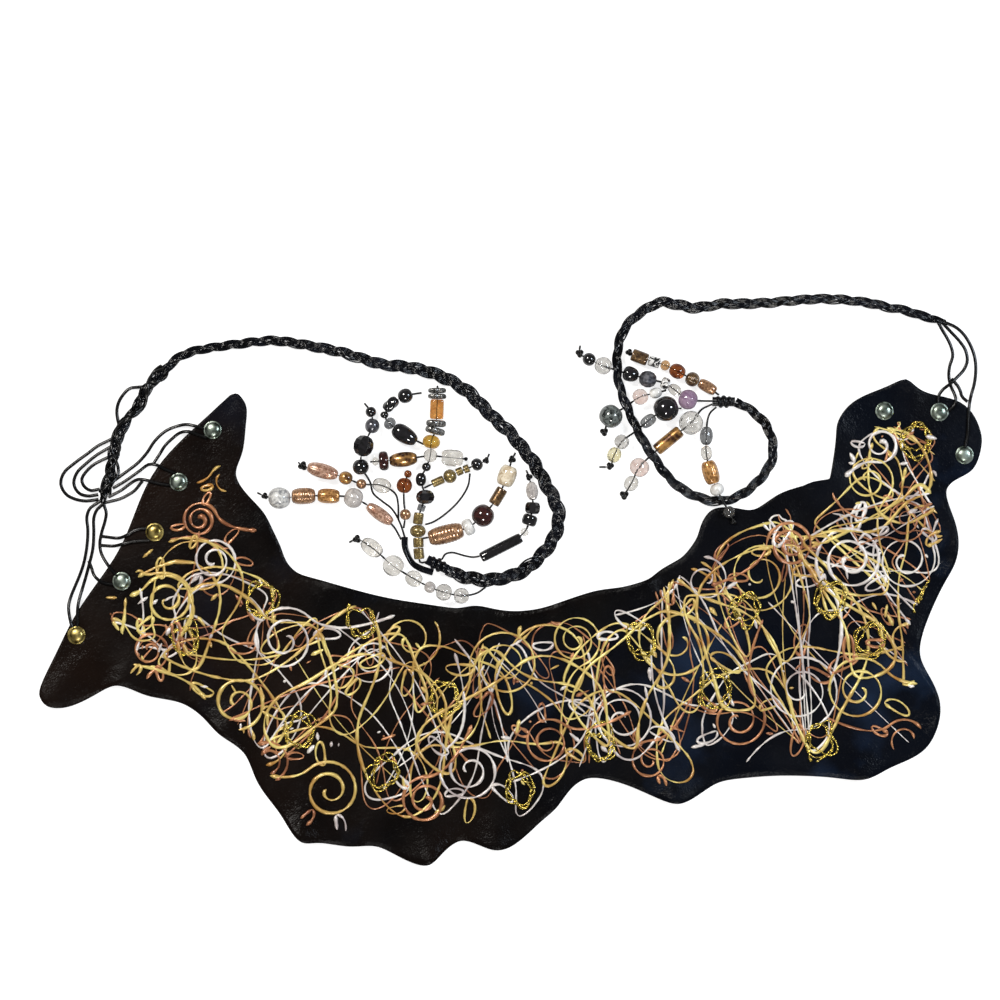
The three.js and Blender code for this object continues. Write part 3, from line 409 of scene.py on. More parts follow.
def as_mesh(name, verts, faces, looks, smooth=True):
    data = bpy.data.meshes.new(name)
    data.from_pydata(verts, [], faces)
    for look in looks:
        data.materials.append(look)
    for face in data.polygons:
        face.use_smooth = smooth
    made = bpy.data.objects.new(name, data)
    bpy.context.collection.objects.link(made)
    return made


def make_cap(name, look):
    low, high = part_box(name)
    centre = (low + high) / 2
    verts = []
    for radius, height in CAP_SECTION:
        for turn in range(CAP_TURNS):
            angle = math.tau * turn / CAP_TURNS
            ring = Vector((math.cos(angle), math.sin(angle), 0)) * radius * MM
            verts.append((centre.x + ring.x, centre.y + ring.y, low.z + height * MM))
    faces = []
    for ring in range(len(CAP_SECTION) - 1):
        for turn in range(CAP_TURNS):
            after = (turn + 1) % CAP_TURNS
            a, b = ring * CAP_TURNS + turn, ring * CAP_TURNS + after
            faces.append((a, b, b + CAP_TURNS, a + CAP_TURNS))
    faces.append(tuple(reversed(range(CAP_TURNS))))
    faces.append(tuple(range((len(CAP_SECTION) - 1) * CAP_TURNS, len(CAP_SECTION) * CAP_TURNS)))
    cap = as_mesh("dressed_" + name, verts, faces, [look])
    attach(cap, "root")
    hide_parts(name)


for name, look in CAPS.items():
    make_cap(name, look)


# Laces: 2 mm round black leather, polished by handling, with the nicks and flats of cut hide. They come from
# under the caps, over the leather's edge and down to the floor, and are thrown together into the ties.
def lace_look(name, pale, shine):
    values = {"Scale": 55.0, "Low": 0.35, "High": 0.7, "Pale": pale, "Deep": (0.0008, 0.0008, 0.001)}
    return patterned(
        name, MOTTLE, values, (0.08, 0.0002), (shine, shine + 0.1), Specular_IOR_Level=0.36, IOR=1.5
    )


LACE_LOOK = lace_look("black_lace", (0.004, 0.0035, 0.0035), 0.2)
PLAIT_LOOK = lace_look("plaited_cord", (0.0025, 0.0032, 0.007), 0.13)
THREAD_LOOK = lace_look("waxed_thread", (0.004, 0.0035, 0.003), 0.34)

LACE = 2  # across
THREAD = 1.2  # across
FLOOR = 1.2  # a lace's middle where it lies on the floor
TOP = 3.4  # and where it lies on top of the panel


# Each row is steps right, steps down, and the height of the middle where it isn't on the floor.
LACES = {
    "lace_left_1a": (
        (202, 428, TOP), (195, 426, TOP), (187, 424.5, 2.4), (178, 426), (166, 431), (155, 441),
        (147, 453), (138, 463), (129, 470), (119.5, 477),
    ),
    "lace_left_1b": (
        (205, 437, TOP), (197, 434, TOP), (188, 431.5, TOP), (180, 433, 2.2), (172, 439), (165, 446),
        (160, 454), (156.5, 459.5, 2.4),
    ),
    "lace_left_2a": (
        (174, 472.5, TOP), (165, 469, TOP), (157, 465, TOP), (149, 464.5, 2.3), (141, 470), (132, 476.5),
        (124, 482), (118, 485.5),
    ),
    "lace_left_2b": (
        (168.5, 485, TOP), (157, 483, TOP), (146, 480, TOP), (138, 479.5, 2.2), (130, 484), (122, 490),
        (113.6, 494.6),
    ),
    "lace_left_2c": (
        (141.5, 482.5, 1.6), (135, 490.5), (129, 494.5), (120, 499), (109.9, 501.6),
    ),
    "lace_left_3a": (
        (144.5, 528.5, TOP), (139, 529, TOP), (134, 531, TOP), (127.5, 535, TOP), (119, 538),
        (105.6, 536.8),
    ),
    "lace_left_3b": (
        (148, 540.5, TOP), (139, 541, TOP), (130, 542, TOP), (123, 544, TOP), (114, 546), (104.8, 545.6),
    ),
    "lace_left_4a": (
        (115, 573, TOP), (110, 567, TOP), (105, 560, 2.4), (101, 552), (100, 543), (102, 532), (105, 522),
        (106.5, 513), (105, 507.5),
    ),
    "lace_left_4b": (
        (111.5, 584, TOP), (105, 583, TOP), (98, 579, TOP), (93.8, 574, 2.6), (92.5, 570), (91, 566),
    ),
    "lace_left_5a": (
        (72, 624.5, TOP), (70, 616, TOP), (69, 606, 2.3), (71, 597), (75, 587), (80, 575), (84, 563),
        (87, 547), (88, 530), (87, 517), (90, 508.6), (96.4, 503.8),
    ),
    "lace_left_5b": (
        (78, 624, TOP), (78, 615, TOP), (78.5, 606, TOP), (80, 598, 2.4), (82.5, 589), (86, 577),
        (89.5, 564), (93, 549), (94, 532), (94, 518), (97, 510), (100, 507),
    ),
    "lace_loop_1": (
        (96.8, 499.8), (86, 501), (75, 499), (66, 494), (61, 484), (64, 473), (75, 463), (88, 453.5),
        (98, 446), (109.6, 440.2), (112, 439),
    ),
    "lace_loop_2": (
        (96.5, 495), (88, 496), (79, 493), (74, 484), (77, 473), (87, 463), (97, 455), (104.5, 450.5),
        (107, 449),
    ),
    "lace_loop_3": (
        (98, 489.5), (91, 490.5), (84, 486), (82, 479), (87, 471), (95, 464), (105.2, 458.8), (107, 458),
    ),
    "lace_slack": (
        (121.5, 429), (118.6, 422.8), (117, 411), (119, 402), (124, 394), (130, 388.5), (141.6, 387),
    ),
    "lace_right_a": (
        (937.5, 400.5, TOP), (938, 396, TOP), (942, 390, 3.6), (949.5, 384, 3.5), (957, 377, 2.4),
        (963.5, 370), (967, 361), (965, 350), (959, 341), (952, 333.5), (946.3, 327.4),
    ),
    "lace_right_b": (
        (949.5, 409.5, TOP), (954, 405, TOP), (955, 399, TOP), (953.5, 393, 2), (950.5, 386),
        (948.5, 376), (949.5, 366), (952.5, 356), (950.5, 346), (945.5, 336), (941.5, 329.5),
        (940.5, 327.5),
    ),
    "lace_right_c": (
        (965.5, 400.5, 2.2), (961.5, 396.5, 1.6), (960, 391), (957.5, 386), (955, 383),
    ),
    "lace_right_d": (
        (965, 445, TOP), (967, 433, TOP), (967.5, 420, TOP), (968, 411, TOP), (969, 403, 3), (971, 395),
        (974, 384), (975.5, 371), (974.5, 358), (970, 345), (963, 334), (955, 327), (944.2, 322.3),
    ),
}

# Each lace too short to count as a free cord, and the one it is thrown together with.
SHORT_LACES = {
    "lace_left_2c": "lace_left_2b", "lace_left_3a": "lace_left_5b", "lace_left_3b": "lace_left_5b",
    "lace_left_4b": "lace_left_5b", "lace_right_c": "lace_right_b",
}


def through(points, stride):
    """A centripetal Catmull-Rom curve through the points, read at an even stride."""
    padded = [points[0] * 2 - points[1], *points, points[-1] * 2 - points[-2]]
    fine = []
    for p0, p1, p2, p3 in zip(padded, padded[1:], padded[2:], padded[3:]):
        t1 = (p1 - p0).length ** 0.5
        t2 = t1 + (p2 - p1).length ** 0.5
        t3 = t2 + (p3 - p2).length ** 0.5
        for step in range(12):
            t = t1 + (t2 - t1) * step / 12
            a1 = p0.lerp(p1, t / t1)
            a2 = p1.lerp(p2, (t - t1) / (t2 - t1))
            a3 = p2.lerp(p3, (t - t2) / (t3 - t2))
            b1 = a1.lerp(a2, t / t2)
            b2 = a2.lerp(a3, (t - t1) / (t3 - t1))
            fine.append(b1.lerp(b2, (t - t1) / (t2 - t1)))
    fine.append(points[-1].copy())
    return even(fine, stride)


def even(points, stride):
    total = length_of(points)
    count = max(3, round(total / stride))
    spaced = [points[0].copy()]
    walked = 0.0
    for here, there in zip(points, points[1:]):
        piece = (there - here).length
        while len(spaced) < count and walked + piece >= total * len(spaced) / count:
            share = (total * len(spaced) / count - walked) / piece
            spaced.append(here.lerp(there, share))
        walked += piece
    spaced.append(points[-1].copy())
    return spaced


def length_of(points):
    return sum((there - here).length for here, there in zip(points, points[1:]))


def longer(points, first=1.2, last=1.2):
    """A route with both ends carried a little further, level with the floor, into what they meet."""
    start, end = points[0].copy(), points[-1].copy()
    start.xy += (points[0] - points[1]).xy.normalized() * first * MM
    end.xy += (points[-1] - points[-2]).xy.normalized() * last * MM
    return [start, *points[1:-1], end]


def above_floor(points, across):
    """The same route, lifted where its curve would dip under the floor."""
    for point in points:
        point.z = max(point.z, across / 2)
    return points


def as_curve(name, points, across, look, sides=3, thins=()):
    data = bpy.data.curves.new(name, "CURVE")
    data.dimensions = "3D"
    data.bevel_depth = across / 2
    data.bevel_resolution = sides
    data.use_fill_caps = True
    spline = data.splines.new("POLY")
    spline.points.add(len(points) - 1)
    for target, point in zip(spline.points, points):
        target.co = (*point, 1)
        if any((point - middle).length < half for middle, half in thins):
            target.radius = 0.45
    made = bpy.data.objects.new(name, data)
    made.data.materials.append(look)
    bpy.context.collection.objects.link(made)
    return made


def lay_laces():
    laces, routes = {}, {}
    for name, rows in LACES.items():
        laid = above_floor(through([plan(*(*row, FLOOR)[:3]) for row in rows], 2 * MM), LACE * MM)
        routes[name] = longer(laid, 1.2, 3.4)
        laces[name] = as_curve("dressed_" + name, routes[name], LACE * MM, LACE_LOOK)
        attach(laces[name], "root")
        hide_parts(name)
    for name, route in routes.items():
        if name in SHORT_LACES:
            continue


lay_laces()


# Ties: each is plaited from three strands of black leather, and each strand is a flat bundle of fine cords.
# A wound knot gathers it at its end, and on the left tie some cords are left over beside the knot.
# A row is steps right, steps down, width, and height above the floor where it isn't on it.
TIES = {
    "tie_left": (
        (103, 501, 4.4), (105, 491, 5.8), (109.5, 482, 6.4), (112, 473, 6), (111.5, 463, 6),
        (113, 452, 6.2), (118, 441, 6.2), (123, 430, 6.2), (129, 418, 6), (136, 407, 6), (144, 395, 6),
        (155, 381, 6), (167, 368, 6), (180, 357, 6), (195, 351, 6), (215, 347.5, 6), (240, 344, 6.2),
        (268, 341, 6.4), (292, 342.5, 6.8), (315, 347, 7), (340, 352, 7.2), (360, 358, 7.4),
        (380, 364, 7.8), (405, 367, 8), (430, 372.5, 8.4), (452, 381.5, 8.8), (468, 392, 9),
        (483, 407, 9), (498, 422, 9), (512, 435.5, 9), (524, 450, 9), (535, 465, 9), (544, 481, 9),
        (553, 497, 9), (558, 511, 9), (558, 525, 9), (553, 539, 9), (545, 551, 9), (533, 563, 9),
        (520, 572, 9), (503, 578, 9), (486, 579.5, 9), (468, 577.5, 9), (456, 573.5, 8), (448.5, 570, 7),
    ),
    "tie_right": (
        (943, 322, 3.6), (934, 319.5, 5.4), (920, 315.5, 6), (904, 310.5, 6.2), (886, 307, 6.4),
        (868, 303, 6.4), (846, 300, 6.4), (820, 299, 6.4), (796, 300.5, 6.4), (770, 303, 6.6),
        (744, 304, 6.8), (722, 304, 7), (704, 307, 7.2), (689, 307.5, 7.4), (674, 304, 7.4),
        (661, 302.5, 7), (647, 309, 6.8), (634, 318, 6.6), (624, 330, 6.4), (619, 343, 6.4, 1.4),
        (617, 356, 6.2, 2.4), (617, 368, 6, 2.9), (618.5, 382, 6, 2.6), (622, 395, 6, 2.6),
        (626.5, 406, 6, 2.8), (631, 417, 6, 2.6), (637, 430, 6, 2.8), (643, 441, 6, 2.6),
        (650, 452.5, 6, 2.8), (658, 464, 6.2, 1.8), (668, 477, 6.4), (681, 488.5, 6.4), (695, 496, 6.4),
        (710, 500.5, 6.4), (725, 500.5, 6.2), (741, 494.5, 6.4), (756, 483, 6.4), (768, 468, 6.4),
        (773, 452, 6.4), (771, 437, 6.4), (764, 423, 6.4), (753, 412, 6.2), (743, 405.5, 6),
        (736.5, 402.5, 6),
    ),
}


KNOTS = {
    "knot_left": {
        "rows": ((447.9, 569.4), (444, 567.4), (437, 563.8), (430, 560.6), (427, 559.3)), "wide": 8.6,
    },
    "knot_right": {
        "rows": ((734.5, 402), (731, 401.8), (723, 401.6), (716, 401.6), (712, 401.8)), "wide": 8,
    },
}

LEFTOVER_CORDS = 4
LEFTOVER_RADIUS = 0.85
LEFTOVER_REACH = (1.1, 1.0)  # how far a cord's middle is from the bundle's, level and upright
LEFTOVER_WIDE = 3.8  # across the cords left over from the left tie
LEFTOVER_ROUTE = ((404.8, 537.5), (404.8, 546), (407.5, 554.5), (413, 563.5), (421, 568.5), (430, 571.5))
BACK_ROUTE = (
    (425.8, 524.4, 3.6), (432, 522.5, 1.4), (442, 516.5, 0.9), (458, 502, 0.9), (468, 486, 1.2),
    (470, 473.6, 3),
)


def swept_tree():
    """A round section run along each line of a set, wider or narrower by the line's own radius."""
    tree = bpy.data.node_groups.new("swept_lines", "GeometryNodeTree")
    face = tree.interface
    face.new_socket("Geometry", in_out="INPUT", socket_type="NodeSocketGeometry")
    for label, kind in (("Half Width", "Float"), ("Sides", "Int"), ("Look", "Material")):
        face.new_socket(label, in_out="INPUT", socket_type="NodeSocket" + kind)
    face.new_socket("Geometry", in_out="OUTPUT", socket_type="NodeSocketGeometry")
    given = tree.nodes.new("NodeGroupInput").outputs
    section = node(tree, "GeometryNodeCurvePrimitiveCircle", mode="RADIUS")
    tree.links.new(given["Half Width"], section.inputs["Radius"])
    tree.links.new(given["Sides"], section.inputs["Resolution"])
    sweep = node(
        tree, "GeometryNodeCurveToMesh",
        {"Curve": given["Geometry"], "Profile Curve": section.outputs["Curve"], "Fill Caps": True},
    )
    tree.links.new(tree.nodes.new("GeometryNodeInputRadius").outputs["Radius"], sweep.inputs["Scale"])
    soft = node(tree, "GeometryNodeSetShadeSmooth", {"Geometry": sweep.outputs["Mesh"]})
    real = node(tree, "GeometryNodeRealizeInstances", {"Geometry": soft.outputs["Geometry"]})
    dressed = node(tree, "GeometryNodeSetMaterial", {"Geometry": real.outputs["Geometry"]})
    tree.links.new(given["Look"], dressed.inputs["Material"])
    tree.links.new(dressed.outputs["Geometry"], tree.nodes.new("NodeGroupOutput").inputs["Geometry"])
    return tree


SWEPT = swept_tree()


def swept(name, lines, half_width, sides, look, radii=None):
    """One plain mesh of all the lines, each swept with the section."""
    data = bpy.data.curves.new(name + "_lines", "CURVE")
    data.dimensions = "3D"
    for index, line in enumerate(lines):
        spline = data.splines.new("POLY")
        spline.points.add(len(line) - 1)
        spline.points.foreach_set("co", [value for point in line for value in (*point, 1)])
        if radii:
            spline.points.foreach_set("radius", radii[index])
    held = bpy.data.objects.new(name + "_lines", data)
    bpy.context.collection.objects.link(held)
    modifier = held.modifiers.new("sweep", "NODES")
    modifier.node_group = SWEPT
    values = {"Half Width": half_width, "Sides": sides, "Look": look}
    for item in SWEPT.interface.items_tree:
        if item.in_out == "INPUT" and item.name in values:
            modifier[item.identifier] = values[item.name]
    mesh = bpy.data.meshes.new_from_object(held.evaluated_get(bpy.context.evaluated_depsgraph_get()))
    bpy.data.objects.remove(held)
    mesh.name = name
    made = bpy.data.objects.new(name, mesh)
    bpy.context.collection.objects.link(made)
    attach(made, "root")
    return made


TIE_FLATNESS = 0.66
PLAIT = {
    "tie_left": {"pitch": 34, "cords": 4, "across": 8.0},
    "tie_right": {"pitch": 36, "cords": 3, "across": 6.4},
}
TIE_STRIDE = 1.6
SWING = 0.29  # how far a strand swings from the middle, as a share of the tie's width
RISE = 0.16  # and how far it rises and dips
BUNDLE = 0.46  # a strand's own width
CORD_SHARE = 0.54  # a fine cord's radius, as a share of its place in the strand
PLAIT_SEED = 5  # keeps the cords' stray the same in each run


def plaited(rows, pitch, cords):
    """The route of a tie, and the line of every fine cord in its three strands."""
    marks = []
    for row in rows:
        right, down, wide, above = (*row, 0)[:4]
        place = plan(right, down, above + wide * TIE_FLATNESS / 2)
        marks.append(Vector((*place, wide * MM)))
    route = longer(through(marks, TIE_STRIDE * MM), 1.4, 0.8)
    noise.seed_set(PLAIT_SEED)
    lines = []
    for strand in range(3):
        for cord in range(cords):
            line = []
            for index, mark in enumerate(route):
                middle, wide = mark.xyz, mark.w
                ahead = route[min(index + 1, len(route) - 1)].xyz - route[max(index - 1, 0)].xyz
                across = Vector((-ahead.y, ahead.x, 0)).normalized()
                stray = noise.noise_vector(Vector((index * 0.07, strand * 7.1, cord * 3.3)))
                phase = math.tau * (index * TIE_STRIDE / pitch + strand / 3) + stray.x * 0.35
                share = (cord + 0.5) / cords - 0.5
                side = SWING * math.sin(phase) + BUNDLE * share * (0.85 + 0.3 * stray.y)
                lift = RISE * math.sin(2 * phase) + 0.10 * (0.25 - share * share) * 4 - 0.05
                radius = BUNDLE / cords * CORD_SHARE * wide
                point = middle + across * side * wide
                point.z += lift * wide
                floor = middle.z - wide * TIE_FLATNESS / 2
                point.z = max(point.z, floor + radius)
                line.append(point)
            lines.append(line)
    return [mark.xyz for mark in route], lines, [mark.w / MM for mark in route]


def wound_knot(name, rows, wide, turns=3, cord=2.7):
    """A tight winding of cord round the place where a tie's strands are gathered."""
    ends = [plan(*place, wide / 2) for place in rows]
    ahead = (ends[-1] - ends[0]).normalized()
    across = Vector((-ahead.y, ahead.x, 0))
    reach = (ends[-1] - ends[0]).length
    line = []
    steps = turns * 20
    for step in range(steps + 1):
        share = step / steps
        swell = (wide / 2 - cord / 2) * (0.55 + 0.45 * math.sin(math.pi * share)) * MM
        angle = math.tau * turns * share
        along = ends[0] + ahead * reach * (0.12 + 0.76 * share)
        line.append(along + across * swell * math.cos(angle) + Vector((0, 0, swell * math.sin(angle))))
    cores = [
        [ends[0] + ahead * reach * step / 6 + across * spread * wide * MM for step in range(7)]
        for spread in (-0.18, 0.0, 0.18)
    ]
    knot = swept("dressed_" + name, [line, *cores], cord / 2 * MM, 10, PLAIT_LOOK)
    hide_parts(name)
    return knot


KNOT_PIECES = {name: wound_knot(name, piece["rows"], piece["wide"]) for name, piece in KNOTS.items()}


def gathered_cords():
    """The cords left over from the left tie, lying together beside its knot."""
    laid = through([plan(*place, LEFTOVER_WIDE / 2) for place in LEFTOVER_ROUTE], 1.5 * MM)
    route = longer(laid, 0.4, 2.0)
    level, upright = LEFTOVER_REACH
    lines = []
    for cord in range(LEFTOVER_CORDS):
        line = []
        for index, point in enumerate(route):
            angle = math.tau * cord / LEFTOVER_CORDS + index * 0.09
            ahead = route[min(index + 1, len(route) - 1)] - route[max(index - 1, 0)]
            across = Vector((-ahead.y, ahead.x, 0)).normalized()
            lift = Vector((0, 0, upright * MM * math.sin(angle)))
            line.append(point + across * level * MM * math.cos(angle) + lift)
        lines.append(line)
    made = swept("dressed_cords_left", lines, LEFTOVER_RADIUS * MM, 8, PLAIT_LOOK)
    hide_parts("cords_left")
    return made


CORDS_LEFT_PIECE = gathered_cords()


# Loose laces: where the left laces first come together, three of them are not yet plaited in, and wind
# round the first part of the tie.
LOOSE_RUN = 0.2  # share of the tie that they follow
LOOSE_WINDS = ((0.2, 5.0, 3.6), (2.5, 4.0, 4.0), (4.4, 6.5, 3.3))  # start, turns in all, and reach


def loose_laces(route):
    """Three round laces, each lying on the floor beside the tie and rising over it where it crosses."""
    followed = route[3:int(len(route) * LOOSE_RUN)]
    lines = []
    for start, turns, reach in LOOSE_WINDS:
        line = []
        for index, middle in enumerate(followed):
            ahead = followed[min(index + 1, len(followed) - 1)] - followed[max(index - 1, 0)]
            across = Vector((-ahead.y, ahead.x, 0)).normalized()
            phase = start + math.pi * turns * index / len(followed)
            point = middle + across * reach * MM * math.sin(phase)
            point.z = (FLOOR + 3.6 * math.cos(phase) ** 2) * MM
            line.append(point)
        lines.append(line)
    return lines


def lay_ties():
    for name, rows in TIES.items():
        shape = PLAIT[name]
        route, lines, widths = plaited(rows, shape["pitch"], shape["cords"])
        thickness = BUNDLE / shape["cords"] * CORD_SHARE * MM
        tie = swept("dressed_" + name, lines, thickness, 8, PLAIT_LOOK, [widths] * len(lines))
        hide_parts(name)
        knot = KNOT_PIECES["knot_left" if name == "tie_left" else "knot_right"]
        pieces = [knot]
        if name == "tie_left":
            loose = swept("loose_laces", loose_laces(route), LACE / 2 * MM, 10, LACE_LOOK)
            pieces += [CORDS_LEFT_PIECE, loose]


lay_ties()


# Back cord: a loop of the thread that the beads are strung on. It runs behind the left strands, from one
# strand's knot to another, and lies on the floor between them.
back_points = above_floor(through([plan(*row) for row in BACK_ROUTE], 2 * MM), THREAD * MM)
back_cord = as_curve("dressed_cord_left_back", back_points, THREAD * MM, THREAD_LOOK)
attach(back_cord, "root")
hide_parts("cord_left_back")


# Bead strands: glass beads strung on waxed thread, each tied off with an overhand knot. Clear ones let light
# through, lined ones carry metal leaf under glass, and the rest are solid.
def flake_group():
    """Leaves of metal of two colours, and their relief."""
    inputs = {
        "Flake Scale": 800.0, "Streak Scale": 300.0, "Low": 0.12, "High": 0.42,
        "Pale": (1.0, 1.0, 1.0, 1.0), "Deep": (0.0, 0.0, 0.0, 1.0),
    }
    outputs = {"Color": "NodeSocketColor", "Height": "NodeSocketFloat", "Sparkle": "NodeSocketFloat"}
    tree, given, result = shader_group("flakes", inputs, outputs)
    place = node(tree, "ShaderNodeTexCoord").outputs["Object"]
    cells = node(tree, "ShaderNodeTexVoronoi", {"Vector": place, "Scale": given["Flake Scale"]})
    streak = node(
        tree, "ShaderNodeTexNoise", {"Vector": place, "Scale": given["Streak Scale"], "Detail": 5.0}
    )
    mixed = maths(tree, "MULTIPLY", cells.outputs["Distance"], streak.outputs["Fac"])
    mask = spread(tree, mixed, From_Min=given["Low"], From_Max=given["High"])
    grey = node(tree, "ShaderNodeRGBToBW", {"Color": cells.outputs["Color"]})
    tree.links.new(blended(tree, mask, given["Deep"], given["Pale"]), result["Color"])
    tree.links.new(mixed, result["Height"])
    tree.links.new(grey.outputs["Val"], result["Sparkle"])
    return tree


FLAKES = flake_group()


def clear_bead(name, pale, deep, roughness=0.03, crackle=0.0, through_glass=0.92):
    made, tree, shader = surface(name, Roughness=roughness, IOR=1.5, Transmission_Weight=through_glass)
    swirl = placed(
        tree, MOTTLE,
        {"Scale": 190.0, "Distortion": 1.2, "Grain Scale": 400.0, "Pale": pale, "Deep": deep},
    )
    tree.links.new(swirl["Color"], shader.inputs["Base Color"])
    if crackle:
        place = node(tree, "ShaderNodeTexCoord").outputs["Object"]
        cells = node(
            tree, "ShaderNodeTexVoronoi", {"Vector": place, "Scale": 420.0}, feature="DISTANCE_TO_EDGE"
        )
        bumped(tree, shader, cells.outputs["Distance"], crackle, 0.0008)
    else:
        bumped(tree, shader, swirl["Height"], 0.12, 0.0004)
    return made


def lined_bead(name, pale, deep, flake=800.0):
    values = {"Flake Scale": flake, "Pale": pale, "Deep": deep}
    return patterned(
        name, FLAKES, values, (0.3, 0.0003),
        Metallic=0.55, Roughness=0.28, Coat_Weight=1.0, Coat_Roughness=0.04,
    )


def solid_bead(name, pale, deep, scale=220.0, roughness=0.12, low=0.38, high=0.6):
    values = {"Scale": scale, "Distortion": 0.8, "Low": low, "High": high, "Pale": pale, "Deep": deep}
    return patterned(
        name, MOTTLE, values, (0.1, 0.0002), Roughness=roughness, Coat_Weight=0.8, Coat_Roughness=0.05
    )


GLASS = {
    "clear": clear_bead("clear_glass", (0.92, 0.90, 0.86), (0.60, 0.57, 0.52), 0.02, 0.0, 0.94),
    "crackle": clear_bead("crackle_glass", (0.93, 0.91, 0.88), (0.52, 0.50, 0.47), 0.04, 0.5, 0.92),
    "pink": clear_bead("pink_crackle", (0.95, 0.88, 0.84), (0.76, 0.58, 0.52), 0.05, 0.4, 0.9),
    "milky": clear_bead("milky_glass", (0.84, 0.79, 0.75), (0.46, 0.42, 0.40), 0.1, 0.3, 0.4),
    "smoke": clear_bead("smoke_glass", (0.40, 0.41, 0.41), (0.10, 0.10, 0.11), 0.03, 0.3, 0.8),
    "amber": clear_bead("amber_glass", (0.82, 0.42, 0.12), (0.36, 0.11, 0.02), 0.03, 0.0, 0.85),
    "honey": clear_bead("honey_glass", (0.80, 0.52, 0.10), (0.36, 0.17, 0.02), 0.03, 0.0, 0.8),
    "rust": clear_bead("rust_glass", (0.42, 0.12, 0.03), (0.10, 0.02, 0.006), 0.03, 0.0, 0.7),
    "topaz": clear_bead("pale_topaz", (0.86, 0.60, 0.34), (0.50, 0.26, 0.10), 0.03, 0.0, 0.7),
    "yellow": clear_bead("pale_yellow", (0.94, 0.90, 0.70), (0.78, 0.70, 0.42), 0.06, 0.5),
    "brown": lined_bead("brown_glass", (0.62, 0.32, 0.09), (0.06, 0.02, 0.006), 300.0),
    "maroon": solid_bead("maroon_glass", (0.055, 0.012, 0.010), (0.012, 0.003, 0.003)),
    "olive": clear_bead("olive_glass", (0.50, 0.36, 0.06), (0.16, 0.09, 0.01), 0.03, 0.0, 0.7),
    "lavender": clear_bead("lavender_glass", (0.50, 0.36, 0.48), (0.26, 0.15, 0.26), 0.05, 0.2, 0.4),
    "foil_copper": lined_bead("copper_lined", (0.60, 0.34, 0.18), (0.20, 0.09, 0.04)),
    "foil_pink": lined_bead("pink_lined", (0.86, 0.55, 0.40), (0.34, 0.15, 0.09)),
    "foil_gold": lined_bead("gold_lined", (0.80, 0.42, 0.14), (0.30, 0.12, 0.03)),
    "bronze": lined_bead("bronze_lined", (0.26, 0.15, 0.06), (0.06, 0.03, 0.012)),
    "gold": lined_bead("gold_tube", (0.40, 0.29, 0.10), (0.10, 0.065, 0.02), 1400.0),
    "white": solid_bead("white_glass", (0.86, 0.85, 0.82), (0.62, 0.60, 0.57)),
    "cream": solid_bead("cream_glass", (0.82, 0.72, 0.55), (0.50, 0.38, 0.24), 320.0),
    "slate": solid_bead("dark_stone", (0.16, 0.18, 0.17), (0.008, 0.010, 0.010), 420.0, 0.1),
    "stone": solid_bead("grey_stone", (0.72, 0.71, 0.68), (0.24, 0.24, 0.25), 420.0, 0.3),
    "black": solid_bead("black_glass", (0.012, 0.011, 0.013), (0.003, 0.003, 0.003), 220.0, 0.06),
    "hematite": lined_bead("hematite", (0.16, 0.16, 0.18), (0.04, 0.04, 0.05), 500.0),
    "striped": solid_bead("striped_glass", (0.75, 0.73, 0.70), (0.02, 0.02, 0.02), 380.0, 0.1, 0.49, 0.52),
    "sparkle": lined_bead("set_stones", (0.30, 0.29, 0.27), (0.004, 0.004, 0.005), 900.0),
}

